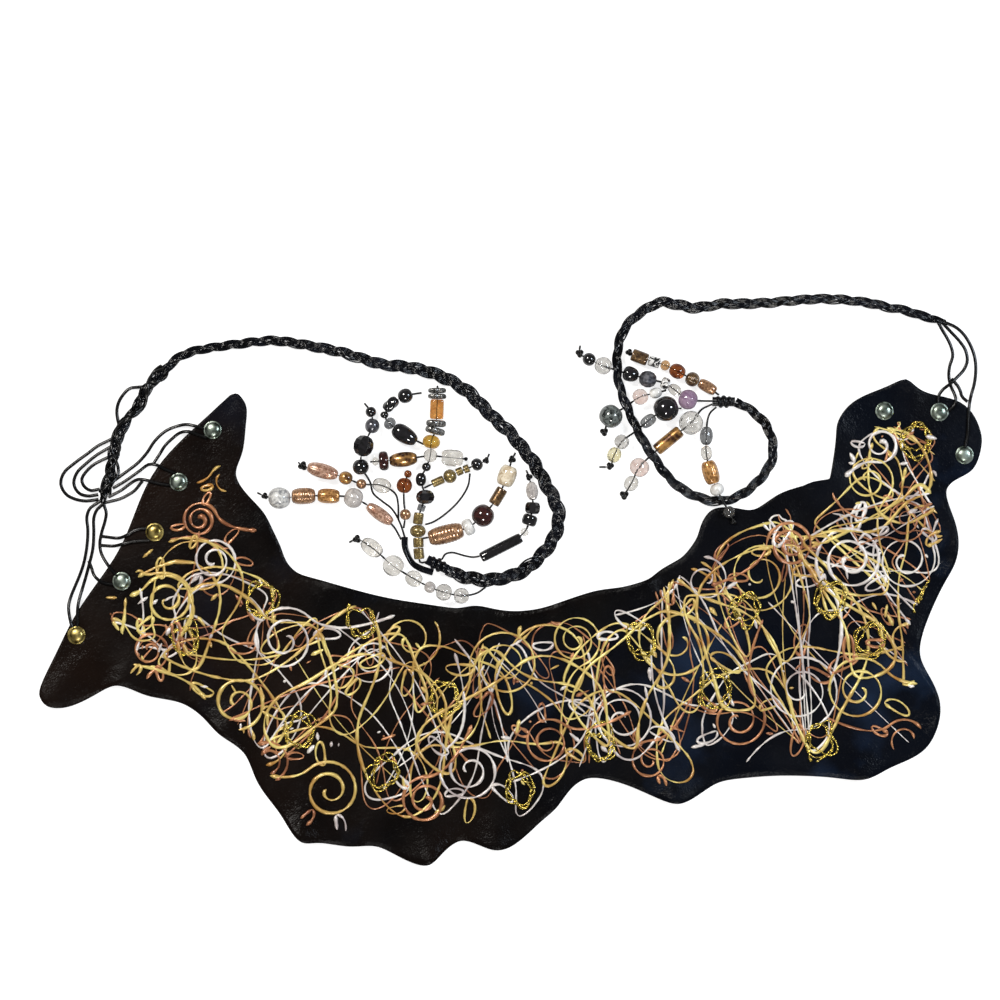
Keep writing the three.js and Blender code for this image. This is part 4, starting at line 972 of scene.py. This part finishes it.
# Each strand from the knot outwards: a bead's form, glass and cut, its place, its length and its width, and
# the height that it stands on. A cord is a point of the bare thread, with its height.
STRANDS = {
    "strand_left_a": (
        ("cord", 400.2, 537.8), ("cord", 394, 527), ("spindle foil_pink ribbed", 380, 514, 18, 8.6),
        ("round milky", 354, 498, 11, 12), ("barrel foil_gold ribbed", 329, 496, 13, 10),
        ("barrel foil_copper ringed", 304, 496, 14, 11), ("round stone", 280, 498, 13, 13),
        ("knot", 265, 496, 4, 4.4), ("cord", 258, 493),
    ),
    "strand_left_b": (
        ("cord", 398.4, 516.8), ("cord", 398, 503), ("cord", 395.5, 494),
        ("round clear", 382, 485.5, 11, 9), ("round foil_copper", 361.5, 484, 6, 6),
        ("round brown", 346, 478, 8, 8), ("spindle foil_pink ribbed", 323, 471, 20, 10),
        ("knot", 303, 466, 6, 6), ("cord", 299, 463),
    ),
    "strand_left_c": (
        ("cord", 404.6, 536.7), ("cord", 400, 523), ("cord", 392, 509), ("cord", 382, 501),
        ("cord", 373, 493), ("cord", 370.5, 483), ("cord", 367, 476.5),
        ("round black", 361, 467, 9, 9.8), ("round black cut", 364, 446, 12.5, 13),
        ("round hematite", 372.5, 426, 8.6, 8.6), ("round black", 371, 412, 6, 6.4),
        ("cord", 365, 404),
    ),
    "strand_left_d": (
        ("cord", 422.2, 443.6, 5), ("drop black", 405, 435, 17.5, 10.4),
        ("round smoke", 390, 423.5, 6.6, 7.6), ("round black", 384.5, 415, 4.6, 5),
        ("spindle black twisted", 391, 404.5, 11.5, 8), ("round black", 405.5, 396, 8.6, 8.8),
        ("cord", 414, 394), ("cord", 421, 393),
    ),
    "strand_left_e": (
        ("cord", 422.6, 456.6, 4.4), ("spindle brown", 403.5, 459.5, 17.5, 9.8),
        ("disc maroon", 384, 461, 6.6, 11.6), ("round clear", 375.5, 461.5, 4.4, 5),
        ("cord", 371.3, 461.8),
    ),
    "strand_left_f": (
        ("cord", 424.5, 562.3), ("cord", 420.5, 562.5), ("tube gold", 419, 553.5, 7, 7.2),
        ("tube gold", 418.5, 542.5, 6.4, 7.2), ("round gold", 418, 531, 7.6, 9.6),
        ("tube gold", 418.5, 518.5, 7, 6.8), ("tube smoke", 421.5, 507.8, 4, 5.4),
        ("round black cut", 425.5, 497, 8.6, 12), ("round black", 421, 479.5, 8, 6.4),
        ("round black", 426.5, 467, 5, 5.4), ("round clear cut", 430.5, 455.5, 8, 8.8),
        ("round honey", 431.5, 442, 8.2, 10.6), ("disc sparkle studded", 435.5, 431, 4.2, 12.6),
        ("disc sparkle studded", 436.5, 423.6, 4.2, 12.6), ("tube amber square", 437, 409.5, 12.4, 10.4),
        ("disc sparkle studded", 437.5, 396.6, 3.4, 11.6),
        ("disc sparkle studded", 437.5, 390.8, 3.2, 11.4), ("cord", 437.5, 387),
    ),
    "strand_left_g": (
        ("cord", 438.3, 456.4, 4.4), ("barrel clear ribbed", 452.5, 458, 13.6, 11.2),
        ("knot", 466, 459, 3, 2.6),
    ),
    "strand_left_h": (
        ("cord", 426.3, 487, 5.4), ("tube gold", 438, 481.5, 8, 5.6),
        ("round gold", 450, 476.3, 8, 8.4), ("tube gold", 459.5, 471.5, 4, 5.4),
        ("tube gold", 466.5, 468.9, 3.4, 5.6), ("round black", 477, 464.5, 6.6, 7.6),
        ("knot", 486, 460.5, 4, 4.4), ("cord", 489, 454.5),
    ),
    "strand_left_i": (
        ("cord", 424.9, 538, 3.8), ("barrel foil_copper ringed", 446, 534, 21, 12.4),
        ("disc white", 468.5, 527, 6, 10), ("round maroon", 483, 515.5, 12.6, 13.4),
        ("tube bronze", 498, 496.5, 11, 7.8), ("barrel cream", 507, 476, 12.4, 11.8),
        ("knot", 512, 459.5, 5, 5), ("cord", 515, 453.5),
    ),
    "strand_left_j": (
        ("cord", 443, 557.5, 3), ("cord", 445.5, 554), ("cord", 452, 552.5), ("cord", 466, 556),
        ("cord", 475, 557), ("tube black", 501, 547.5, 27, 7.2),
        ("round clear", 524.5, 532, 4.4, 5), ("disc black", 529.5, 520, 6.6, 9),
        ("disc black cut", 532.5, 508, 7, 9.6), ("round milky cut", 532, 491, 11, 7.8),
        ("knot", 529, 477, 4.4, 4.6), ("cord", 526.5, 471),
    ),
    "strand_left_k": (
        ("cord", 484, 588.3, 2.4), ("cord", 477, 593), ("round crackle", 461.5, 595.5, 9, 9.6),
        ("round crackle", 444, 592, 9.4, 10.2), ("round milky", 430, 587, 6.4, 7),
        ("round clear", 414, 578.5, 10, 9.6), ("round clear ribbed", 393.5, 565.5, 12, 13),
        ("round clear", 372, 547.5, 14, 9.8), ("knot", 357, 539, 5, 5.4), ("cord", 350, 542),
    ),
    "strand_left_s": (
        ("cord", 404, 526), ("round foil_copper", 405.5, 514.5, 6.4, 6.6), ("cord", 404, 503),
        ("round rust", 404.5, 485.5, 9, 9.4), ("round rust", 408, 474, 4.4, 4.6),
    ),
    "strand_right_a": (
        ("cord", 717, 394, 3.5), ("barrel foil_copper", 707, 387, 12, 7.6),
        ("round bronze ringed", 692, 379.5, 8.4, 9), ("round rust", 677, 371.5, 9.6, 9),
        ("round topaz", 665, 365.5, 5.4, 6.4), ("tube striped", 654, 362, 7, 7.2),
        ("tube bronze", 639.5, 357.5, 11, 8.6), ("knot", 629, 352.5, 3.6, 4.6),
    ),
    "strand_right_b": (
        ("cord", 711.2, 401.2, 3.5), ("cord", 701, 401, 3),
        ("round lavender", 687.5, 399.8, 11, 12), ("round clear", 674.5, 390, 8, 6.6),
        ("disc striped", 665, 383.5, 5, 7), ("round hematite cut", 647.5, 379.5, 10.4, 10.8),
        ("drop black", 630.5, 374.5, 9.4, 9.2), ("cord", 621, 371.8), ("cord", 612.5, 369),
        ("round crackle", 603, 366, 9.8, 10.4), ("round black", 589, 359.5, 7.4, 7.8),
        ("knot", 579.5, 353.5, 5, 5.4), ("cord", 580, 346.5),
    ),
    "strand_right_c": (
        ("cord", 664, 391, 3), ("round white", 655.5, 393.2, 7.4, 6.4),
        ("round pink", 640, 397, 9, 9.6), ("cord", 625.5, 407),
        ("round slate", 610.5, 416.5, 13, 14), ("knot", 604, 432, 5, 5.4),
    ),
    "strand_right_d": (
        ("cord", 679, 408.6, 5), ("round black", 665.5, 409, 14.4, 15),
        ("spindle smoke", 648, 421, 9.6, 7.6), ("cord", 636, 431),
        ("round crackle", 621.5, 442, 8.4, 9), ("round yellow", 614, 455, 9.4, 8.4),
        ("knot", 610, 466, 4.4, 5), ("cord", 600, 467),
    ),
    "strand_right_e": (
        ("cord", 710, 405.2, 2.5), ("cord", 702, 409.2), ("round crackle", 690.5, 423, 13.6, 14.2),
        ("tube brown", 668, 440.5, 18.6, 8.6), ("cord", 651.5, 455),
        ("round pink", 639, 467.5, 10.6, 11.8), ("round clear", 631, 483.5, 9, 8.4),
        ("knot", 624, 495, 5.6, 6),
    ),
    "strand_right_f": (
        ("cord", 714.5, 408.6, 2.5), ("cord", 710, 413), ("cord", 707.5, 420),
        ("round smoke", 706, 436, 11, 7.8), ("round clear", 706, 453, 8.4, 6.8),
        ("barrel foil_gold ribbed", 710, 472.5, 14, 10.6), ("round white", 716.5, 489.5, 7, 8.6, 0),
        ("cord", 722, 500.5, 6.4), ("round crackle", 728.5, 512, 6.6, 7.2, 2.3),
        ("knot", 733, 521.5, 3.6, 4, 2.3),
    ),
}

# A bead's outline: its radius at the ends as a share of the middle's, and how full its sides are.
BEAD_FORMS = {
    "round": {"end": 0.22, "full": 2.0, "width": 1.0},
    "barrel": {"end": 0.52, "full": 2.6, "width": 0.92},
    "tube": {"end": 0.80, "full": 9.0, "width": 0.88},
    "spindle": {"end": 0.34, "full": 2.1, "width": 0.92},
    "drop": {"end": 0.26, "full": 2.2, "width": 1.0},
    "disc": {"end": 0.55, "full": 3.4, "width": 1.0},
}
BEAD_RINGS = 22
BEAD_TURNS = 36
FACETS = (8, 6)  # a cut bead's facets, round it and along it
HOLE = 0.75  # radius of a bead's bore


def fitted(rows):
    """Every row as a thing with a form, a middle, a length and a width, shortened where two would meet."""
    items = []
    for words, right, down, *sizes in rows:
        form, finish, cut = (words.split() + ["plain", "plain"])[:3]
        bare = form == "cord"
        long = 0 if bare else sizes[0]
        wide = THREAD if bare else sizes[1]
        height = max(sizes[0] if sizes else 0, THREAD / 2) if bare else sizes[2] if len(sizes) > 2 else 0
        middle = plan(right, down, height if bare else height + wide / 2)
        items.append(
            {
                "form": form, "finish": finish, "cut": cut,
                "long": long * MM, "wide": wide * MM, "middle": middle,
            }
        )
    for here, there in zip(items, items[1:]):
        apart = (there["middle"] - here["middle"]).xy.length - 0.3 * MM
        total = here["long"] + there["long"]
        excess = total / 2 - apart
        if excess > 0:
            here["long"] -= 2 * excess * here["long"] / total
            there["long"] -= 2 * excess * there["long"] / total
    return items


def bead_radius(form, share, cut, angle):
    """The bead's radius at a place along it, from -1 to 1, as a share of half its width."""
    shape = BEAD_FORMS[form]
    place = abs(share)
    if form == "drop":
        place = abs((share - 0.3) / (1.3 if share < 0.3 else 0.7))
    radius = shape["end"] + (1 - shape["end"]) * max(0.0, 1 - place ** shape["full"]) ** (1 / 1.9)
    if cut == "ribbed":
        radius *= 1 - 0.055 * (1 + math.cos(angle * 12)) * (1 - place**4)
    if cut == "studded":
        radius *= 0.88 + 0.12 * math.cos(angle * 9)
    if cut == "ringed":
        radius *= 1 - 0.02 * (1 + math.cos(share * 32))
    if cut == "twisted":
        radius *= 1 - 0.10 * (1 + math.cos(angle * 4 + share * 4)) * (1 - place**2)
    if cut == "square":
        radius *= 0.90 / max(abs(math.cos(angle)), abs(math.sin(angle))) ** 0.6
    return radius * shape["width"]


def make_bead(name, item, ahead):
    cut = item["cut"]
    turns, rings = FACETS if cut == "cut" else (BEAD_TURNS, BEAD_RINGS * (3 if cut == "ringed" else 1))
    across = Vector((-ahead.y, ahead.x, 0)).normalized()
    up = ahead.cross(across)
    half, wide = item["long"] / 2, item["wide"] / 2
    bore = min(HOLE * MM, wide * 0.4)
    verts, faces = [], []

    def ring_at(along, radius_of):
        for turn in range(turns):
            angle = math.tau * (turn + 0.5) / turns
            out = across * math.cos(angle) + up * math.sin(angle)
            verts.append(item["middle"] + ahead * along + out * radius_of(angle))

    ring_at(-half * 0.8, lambda angle: bore)
    for ring in range(rings + 1):
        share = -math.cos(math.pi * ring / rings)
        ring_at(half * share, lambda angle, share=share: wide * bead_radius(item["form"], share, cut, angle))
    ring_at(half * 0.8, lambda angle: bore)
    for ring in range(rings + 2):
        for turn in range(turns):
            after = (turn + 1) % turns
            a, b = ring * turns + turn, ring * turns + after
            faces.append((a, b, b + turns, a + turns))
    last = (rings + 2) * turns
    faces.append(tuple(reversed(range(turns))))
    faces.append(tuple(range(last, last + turns)))
    made = as_mesh(name, verts, faces, [GLASS[item["finish"]]], smooth=cut != "cut")
    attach(made, "root")
    return made


KNOT_TURNS = 60
KNOT_THREAD = 1.5  # across, pulled flat


def thread_knot(name, middle, wide, ahead):
    """A small overhand knot, drawn as a trefoil of thread."""
    across = Vector((-ahead.y, ahead.x, 0)).normalized()
    line = []
    for step in range(KNOT_TURNS + 1):
        t = math.tau * step / KNOT_TURNS
        x = (math.sin(t) + 2 * math.sin(2 * t)) / 3
        y = (math.cos(t) - 2 * math.cos(2 * t)) / 3
        size = (wide - KNOT_THREAD * MM) / 2
        line.append(
            middle + (ahead * x + across * y) * size + Vector((0, 0, -math.sin(3 * t) * THREAD * 0.42 * MM))
        )
    return swept(name, [line], KNOT_THREAD / 2 * MM, 8, THREAD_LOOK)


def string_strand(name, rows):
    items = fitted(rows)
    pieces = []
    for index, item in enumerate(items):
        before = items[max(index - 1, 0)]["middle"]
        after = items[min(index + 1, len(items) - 1)]["middle"]
        ahead = Vector(((after - before).x, (after - before).y, 0)).normalized()
        label = f"{name}_{index}"
        if item["form"] == "knot":
            pieces.append(thread_knot(label, item["middle"], item["wide"], ahead))
        elif item["form"] != "cord":
            pieces.append(make_bead(label, item, ahead))
    strung = above_floor(through([item["middle"] for item in items], 1.5 * MM), THREAD * MM)
    route = longer(strung, 1.2, 0.4)
    inside = [(item["middle"], item["long"] / 2) for item in items if item["long"]]
    thread = as_curve("dressed_" + name, route, THREAD * MM, THREAD_LOOK, thins=inside)
    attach(thread, "root")
    return thread, pieces, route


def string_strands():
    for name in ["strand_left_g", *[other for other in STRANDS if other != "strand_left_g"]]:
        thread, pieces, route = string_strand(name, STRANDS[name])
        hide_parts(name)
        if name == "strand_left_g":
            continue


string_strands()


# The painted ornament: raised lines of gold, pearl and copper paint, and coils of glitter. It is a plain
# all-over scroll of crossing waves, loops, spirals and leaf sprays, kept off the edge and off the caps.
def paint_look(name, pale, deep, metallic):
    values = {
        "Scale": 42.0, "Distortion": 0.8, "Low": 0.32, "High": 0.62, "Grain Scale": 620.0, "Pale": pale,
        "Deep": deep,
    }
    return patterned(
        name, MOTTLE, values, (0.3, 0.0004),
        Metallic=metallic, Roughness=0.34, Coat_Weight=0.5, Coat_Roughness=0.12,
    )


def glitter_look(name, pale, deep):
    values = {"Flake Scale": 1500.0, "Low": 0.1, "High": 0.36, "Pale": pale, "Deep": deep}
    return patterned(
        name, FLAKES, values, (0.8, 0.0004), height="Sparkle",
        Metallic=0.9, Roughness=0.26, Coat_Weight=0.5, Coat_Roughness=0.12,
    )


PAINTS = {
    "gold": paint_look("gold_paint", (0.78, 0.63, 0.20), (0.42, 0.19, 0.035), 0.3),
    "pearl": paint_look("pearl_paint", (0.84, 0.79, 0.74), (0.42, 0.34, 0.33), 0.25),
    "copper": paint_look("copper_paint", (0.56, 0.25, 0.11), (0.22, 0.07, 0.03), 0.5),
    "glitter": glitter_look("glitter_paint", (0.80, 0.60, 0.10), (0.07, 0.045, 0.01)),
}
# The line that the ornament follows: steps right, steps down, and how far it may reach to either side.
SPINE = [
    (128, 640, 40), (190, 600, 80), (235, 650, 80), (310, 690, 95), (400, 720, 95), (500, 720, 95),
    (590, 690, 80), (680, 680, 95), (760, 640, 120), (840, 620, 140), (880, 560, 95), (895, 480, 60),
    (905, 420, 30),
]
EDGE_MARGIN = 9  # bare leather kept along the cut edge
CAP_MARGIN = 10  # and round each cap
PAINT_STRIDE = 1.3
GLITTER_STRIDE = 0.55
GLITTER_LIFT = 0.5  # glitter lies over the paint
COIL_RADIUS = 13
COIL_RINGS = 3
COIL_POINTS = 150
ONE_TURN = 6.2832
HEADINGS = (0, 6.28)  # any way round
CROSSING_STROKES = 48
SHORT_STROKES = 150
PAINT_ENDS = (0.35, 1.2, 1.5, 1.25)  # a line of paint starts and ends in a blob
spine_marks = through([Vector((*plan(x, y), reach * PLAN_STEP * MM)) for x, y, reach in SPINE], 1 * MM)
cap_centres = [(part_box(name)[0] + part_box(name)[1]) / 2 for name in CAPS]
dice = random.Random(11)


def paintable(place):
    if any((place - centre).xy.length < CAP_MARGIN * MM for centre in cap_centres):
        return False
    for turn in range(8):
        angle = math.pi * turn / 4
        off = Vector((math.cos(angle), math.sin(angle), 0)) * EDGE_MARGIN * MM
        if on_leather(place + off) is None:
            return False
    return True


def beside_spine(share, side, hand=0.0):
    """A place a share of the way along the spine, and so far to its side, from -1 to 1, drawn with a noisy
    wobble.
    """
    share += 0.03 * noise.noise(Vector((share * 9, side * 1.3, hand)))
    side += 0.36 * noise.noise(Vector((share * 14, side * 1.1, hand + 50)))
    index = min(max(share, 0.0), 1.0) * (len(spine_marks) - 1)
    low = min(int(index), len(spine_marks) - 2)
    mark = spine_marks[low].lerp(spine_marks[low + 1], index - low)
    beyond, behind = spine_marks[min(low + 12, len(spine_marks) - 1)], spine_marks[max(low - 12, 0)]
    ahead = (beyond - behind).xyz.normalized()
    return mark.xyz + Vector((-ahead.y, ahead.x, 0)) * side * mark.w


def wave(turns, height, start, phase, low=0.0, high=1.0):
    made = []
    count = int(520 * (high - low))
    for i in range(count + 1):
        side = start + height * math.sin(phase + turns * ONE_TURN * i / count)
        made.append(beside_spine(low + (high - low) * i / count, side, phase + turns))
    return made


def loops(turns, height, start, swing, low=0.0, high=1.0):
    """A row of overlapping loops: the line runs back on itself once in each turn."""
    count = turns * 44
    made = []
    for i in range(count + 1):
        angle = turns * ONE_TURN * i / count
        share = low + (high - low) * (i / count + swing * math.sin(angle) / turns)
        made.append(beside_spine(share, start + height * math.cos(angle), turns * 3.7))
    return made


def spiral(centre, radius, turns, heading, hand):
    made = []
    count = int(26 * turns)
    for i in range(count + 1):
        share = i / count
        angle = heading + hand * ONE_TURN * turns * share
        out = Vector((math.cos(angle), math.sin(angle), 0)) * radius * (0.12 + 0.88 * share**0.8)
        made.append(centre + out)
    end = made[-1]
    run = (made[-1] - made[-2]).normalized() * radius
    side = Vector((-run.y, run.x, 0)) * -0.5 * hand
    made += [end + run * step / 8 + side * (step / 8) ** 2 for step in range(1, 17)]
    return made


def leaf(centre, length, heading, width=0.32):
    made = []
    for i in range(33):
        angle = ONE_TURN * i / 32
        along = -math.cos(angle) * length / 2
        out = math.sin(angle) * length * width * (0.6 + 0.4 * math.cos(angle / 2))
        made.append(
            centre
            + Vector((math.cos(heading), math.sin(heading), 0)) * along
            + Vector((-math.sin(heading), math.cos(heading), 0)) * out
        )
    return made


def coil(centre, radius):
    """Three loose rings of glitter, one over the other."""
    made = []
    drift = dice.uniform(0, 50)
    for i in range(COIL_POINTS):
        angle = ONE_TURN * COIL_RINGS * i / (COIL_POINTS - 1)
        stray = noise.noise(Vector((math.cos(angle), math.sin(angle), drift + i / 60)))
        ring = radius * (0.72 + 0.5 * stray)
        made.append(centre + Vector((math.cos(angle) * 0.85, math.sin(angle), 0)) * ring)
    return made


# Each long line: its colour, its points and its half width in millimetres.
WAVES = (
    ("gold", wave(5, 0.80, 0.05, 0.4), 0.9), ("gold", wave(9, 0.50, 0.25, 2.6), 0.6),
    ("pearl", wave(6, 0.80, 0.0, 3.4), 0.6), ("copper", wave(8, 0.7, -0.1, 1.0), 0.45),
    ("gold", loops(11, 0.38, 0.42, 0.30, 0.04, 0.97), 0.75),
    ("pearl", loops(9, 0.42, -0.42, 0.33, 0.05, 0.98), 0.6),
    ("gold", loops(7, 0.62, 0.0, 0.36, 0.03, 0.98), 0.95),
    ("copper", loops(14, 0.3, 0.6, 0.28, 0.06, 0.94), 0.45),
    ("gold", loops(8, 0.34, -0.55, 0.30, 0.06, 0.96), 0.7), ("copper", wave(12, 0.34, -0.5, 0.0), 0.4),
)
# Each spiral: its colour, its centre's steps right and down, and its radius in steps.
SPIRALS = (
    ("gold", 168, 600, 26), ("copper", 150, 650, 20), ("pearl", 214, 560, 24), ("gold", 238, 702, 30),
    ("pearl", 285, 640, 34), ("copper", 268, 760, 22), ("gold", 330, 790, 30), ("pearl", 372, 660, 26),
    ("gold", 410, 640, 34), ("copper", 425, 800, 24), ("pearl", 470, 770, 32), ("gold", 505, 665, 36),
    ("copper", 548, 742, 24), ("gold", 575, 640, 26), ("pearl", 622, 720, 34), ("copper", 650, 760, 20),
    ("gold", 678, 640, 42), ("pearl", 705, 580, 26), ("copper", 738, 720, 28), ("gold", 760, 575, 38),
    ("pearl", 800, 690, 40), ("copper", 790, 545, 24), ("gold", 858, 690, 34), ("pearl", 850, 560, 36),
    ("gold", 905, 640, 24), ("copper", 905, 740, 22), ("pearl", 905, 560, 30), ("gold", 868, 480, 26),
    ("copper", 905, 520, 22), ("pearl", 880, 445, 18), ("gold", 226, 480, 16), ("copper", 200, 520, 18),
)
# The coils of glitter, by steps right and down.
COILS = (
    (185, 640), (262, 600), (300, 730), (385, 770), (445, 700), (360, 620), (520, 790), (600, 745),
    (640, 640), (715, 690), (745, 610), (830, 600), (870, 640), (930, 600), (820, 740), (915, 440),
)


def ornament():
    """Every painted line: its colour, its points and its half width in millimetres."""
    lines = [(colour, points, thick) for colour, points, thick in WAVES]
    for colour, right, down, radius in SPIRALS:
        heading, hand = dice.uniform(*HEADINGS), dice.choice((-1, 1))
        centre = plan(right, down)
        size = radius * PLAN_STEP * MM
        points = spiral(centre, size, dice.uniform(1.6, 2.4), heading, hand)
        lines.append((colour, points, dice.choice((0.6, 0.8, 1.0))))
        for side in (-1, 1, 1.9):
            away = heading + side * 1.1
            at = centre + Vector((math.cos(away), math.sin(away), 0)) * size * 1.25
            lines.append((dice.choice(("gold", "pearl", "copper")), leaf(at, size * 0.8, away), 0.7))
    for right, down in COILS:
        lines.append(("glitter", coil(plan(right, down), COIL_RADIUS * MM), 0.5))
    for _ in range(CROSSING_STROKES):
        share, side = dice.random(), dice.choice((-1, 1))
        start = beside_spine(share, side * dice.uniform(0.5, 0.95))
        end = beside_spine(share + dice.uniform(-0.12, 0.12), -side * dice.uniform(0.2, 0.9))
        bow = Vector((start.y - end.y, end.x - start.x, 0)) * dice.uniform(-0.12, 0.12)
        stroke = [start.lerp(end, step / 40) + bow * math.sin(math.pi * step / 40) for step in range(41)]
        colour = dice.choice(("gold", "pearl", "pearl", "copper"))
        lines.append((colour, stroke, dice.choice((0.32, 0.45, 0.6))))
    for _ in range(SHORT_STROKES):
        at = beside_spine(dice.random(), dice.uniform(-0.95, 0.95))
        turn = dice.uniform(*HEADINGS)
        run = Vector((math.cos(turn), math.sin(turn), 0)) * dice.uniform(0.5, 9) * MM
        lines.append((dice.choice(("gold", "pearl", "copper")), [at, at + run * 0.5, at + run], 0.75))
    return lines


def lay_paint():
    pools = {colour: [] for colour in PAINTS}
    for colour, points, thick in ornament():
        run = []
        stride = GLITTER_STRIDE if colour == "glitter" else PAINT_STRIDE
        for point in [*even(points, stride * MM), None]:
            if point is not None and paintable(point):
                run.append(on_leather(point))
                continue
            if len(run) > 3:
                pools[colour].append((run, thick))
            run = []
    for colour, runs in pools.items():
        lines, radii = [], []
        for run, thick in runs:
            height = dice.uniform(0.0, 0.5) * MM + (GLITTER_LIFT * MM if colour == "glitter" else 0)
            lines.append([place + Vector((0, 0, height)) for place in run])
            widths = []
            for index, place in enumerate(run):
                from_end = min(index, len(run) - 1 - index)
                bead = PAINT_ENDS[from_end] if from_end < len(PAINT_ENDS) else 1.0
                flow = noise.noise(place * 120 + Vector((len(run), 0, 0))) * 0.75
                flow += noise.noise(place * 420) * 0.3
                if colour == "glitter":
                    flow = dice.uniform(-0.45, 0.7)
                widths.append(thick * bead * max(0.35, 0.95 + flow))
            radii.append(widths)
        paint = swept(colour + "_lines", lines, MM, 7, PAINTS[colour], radii)


lay_paint()
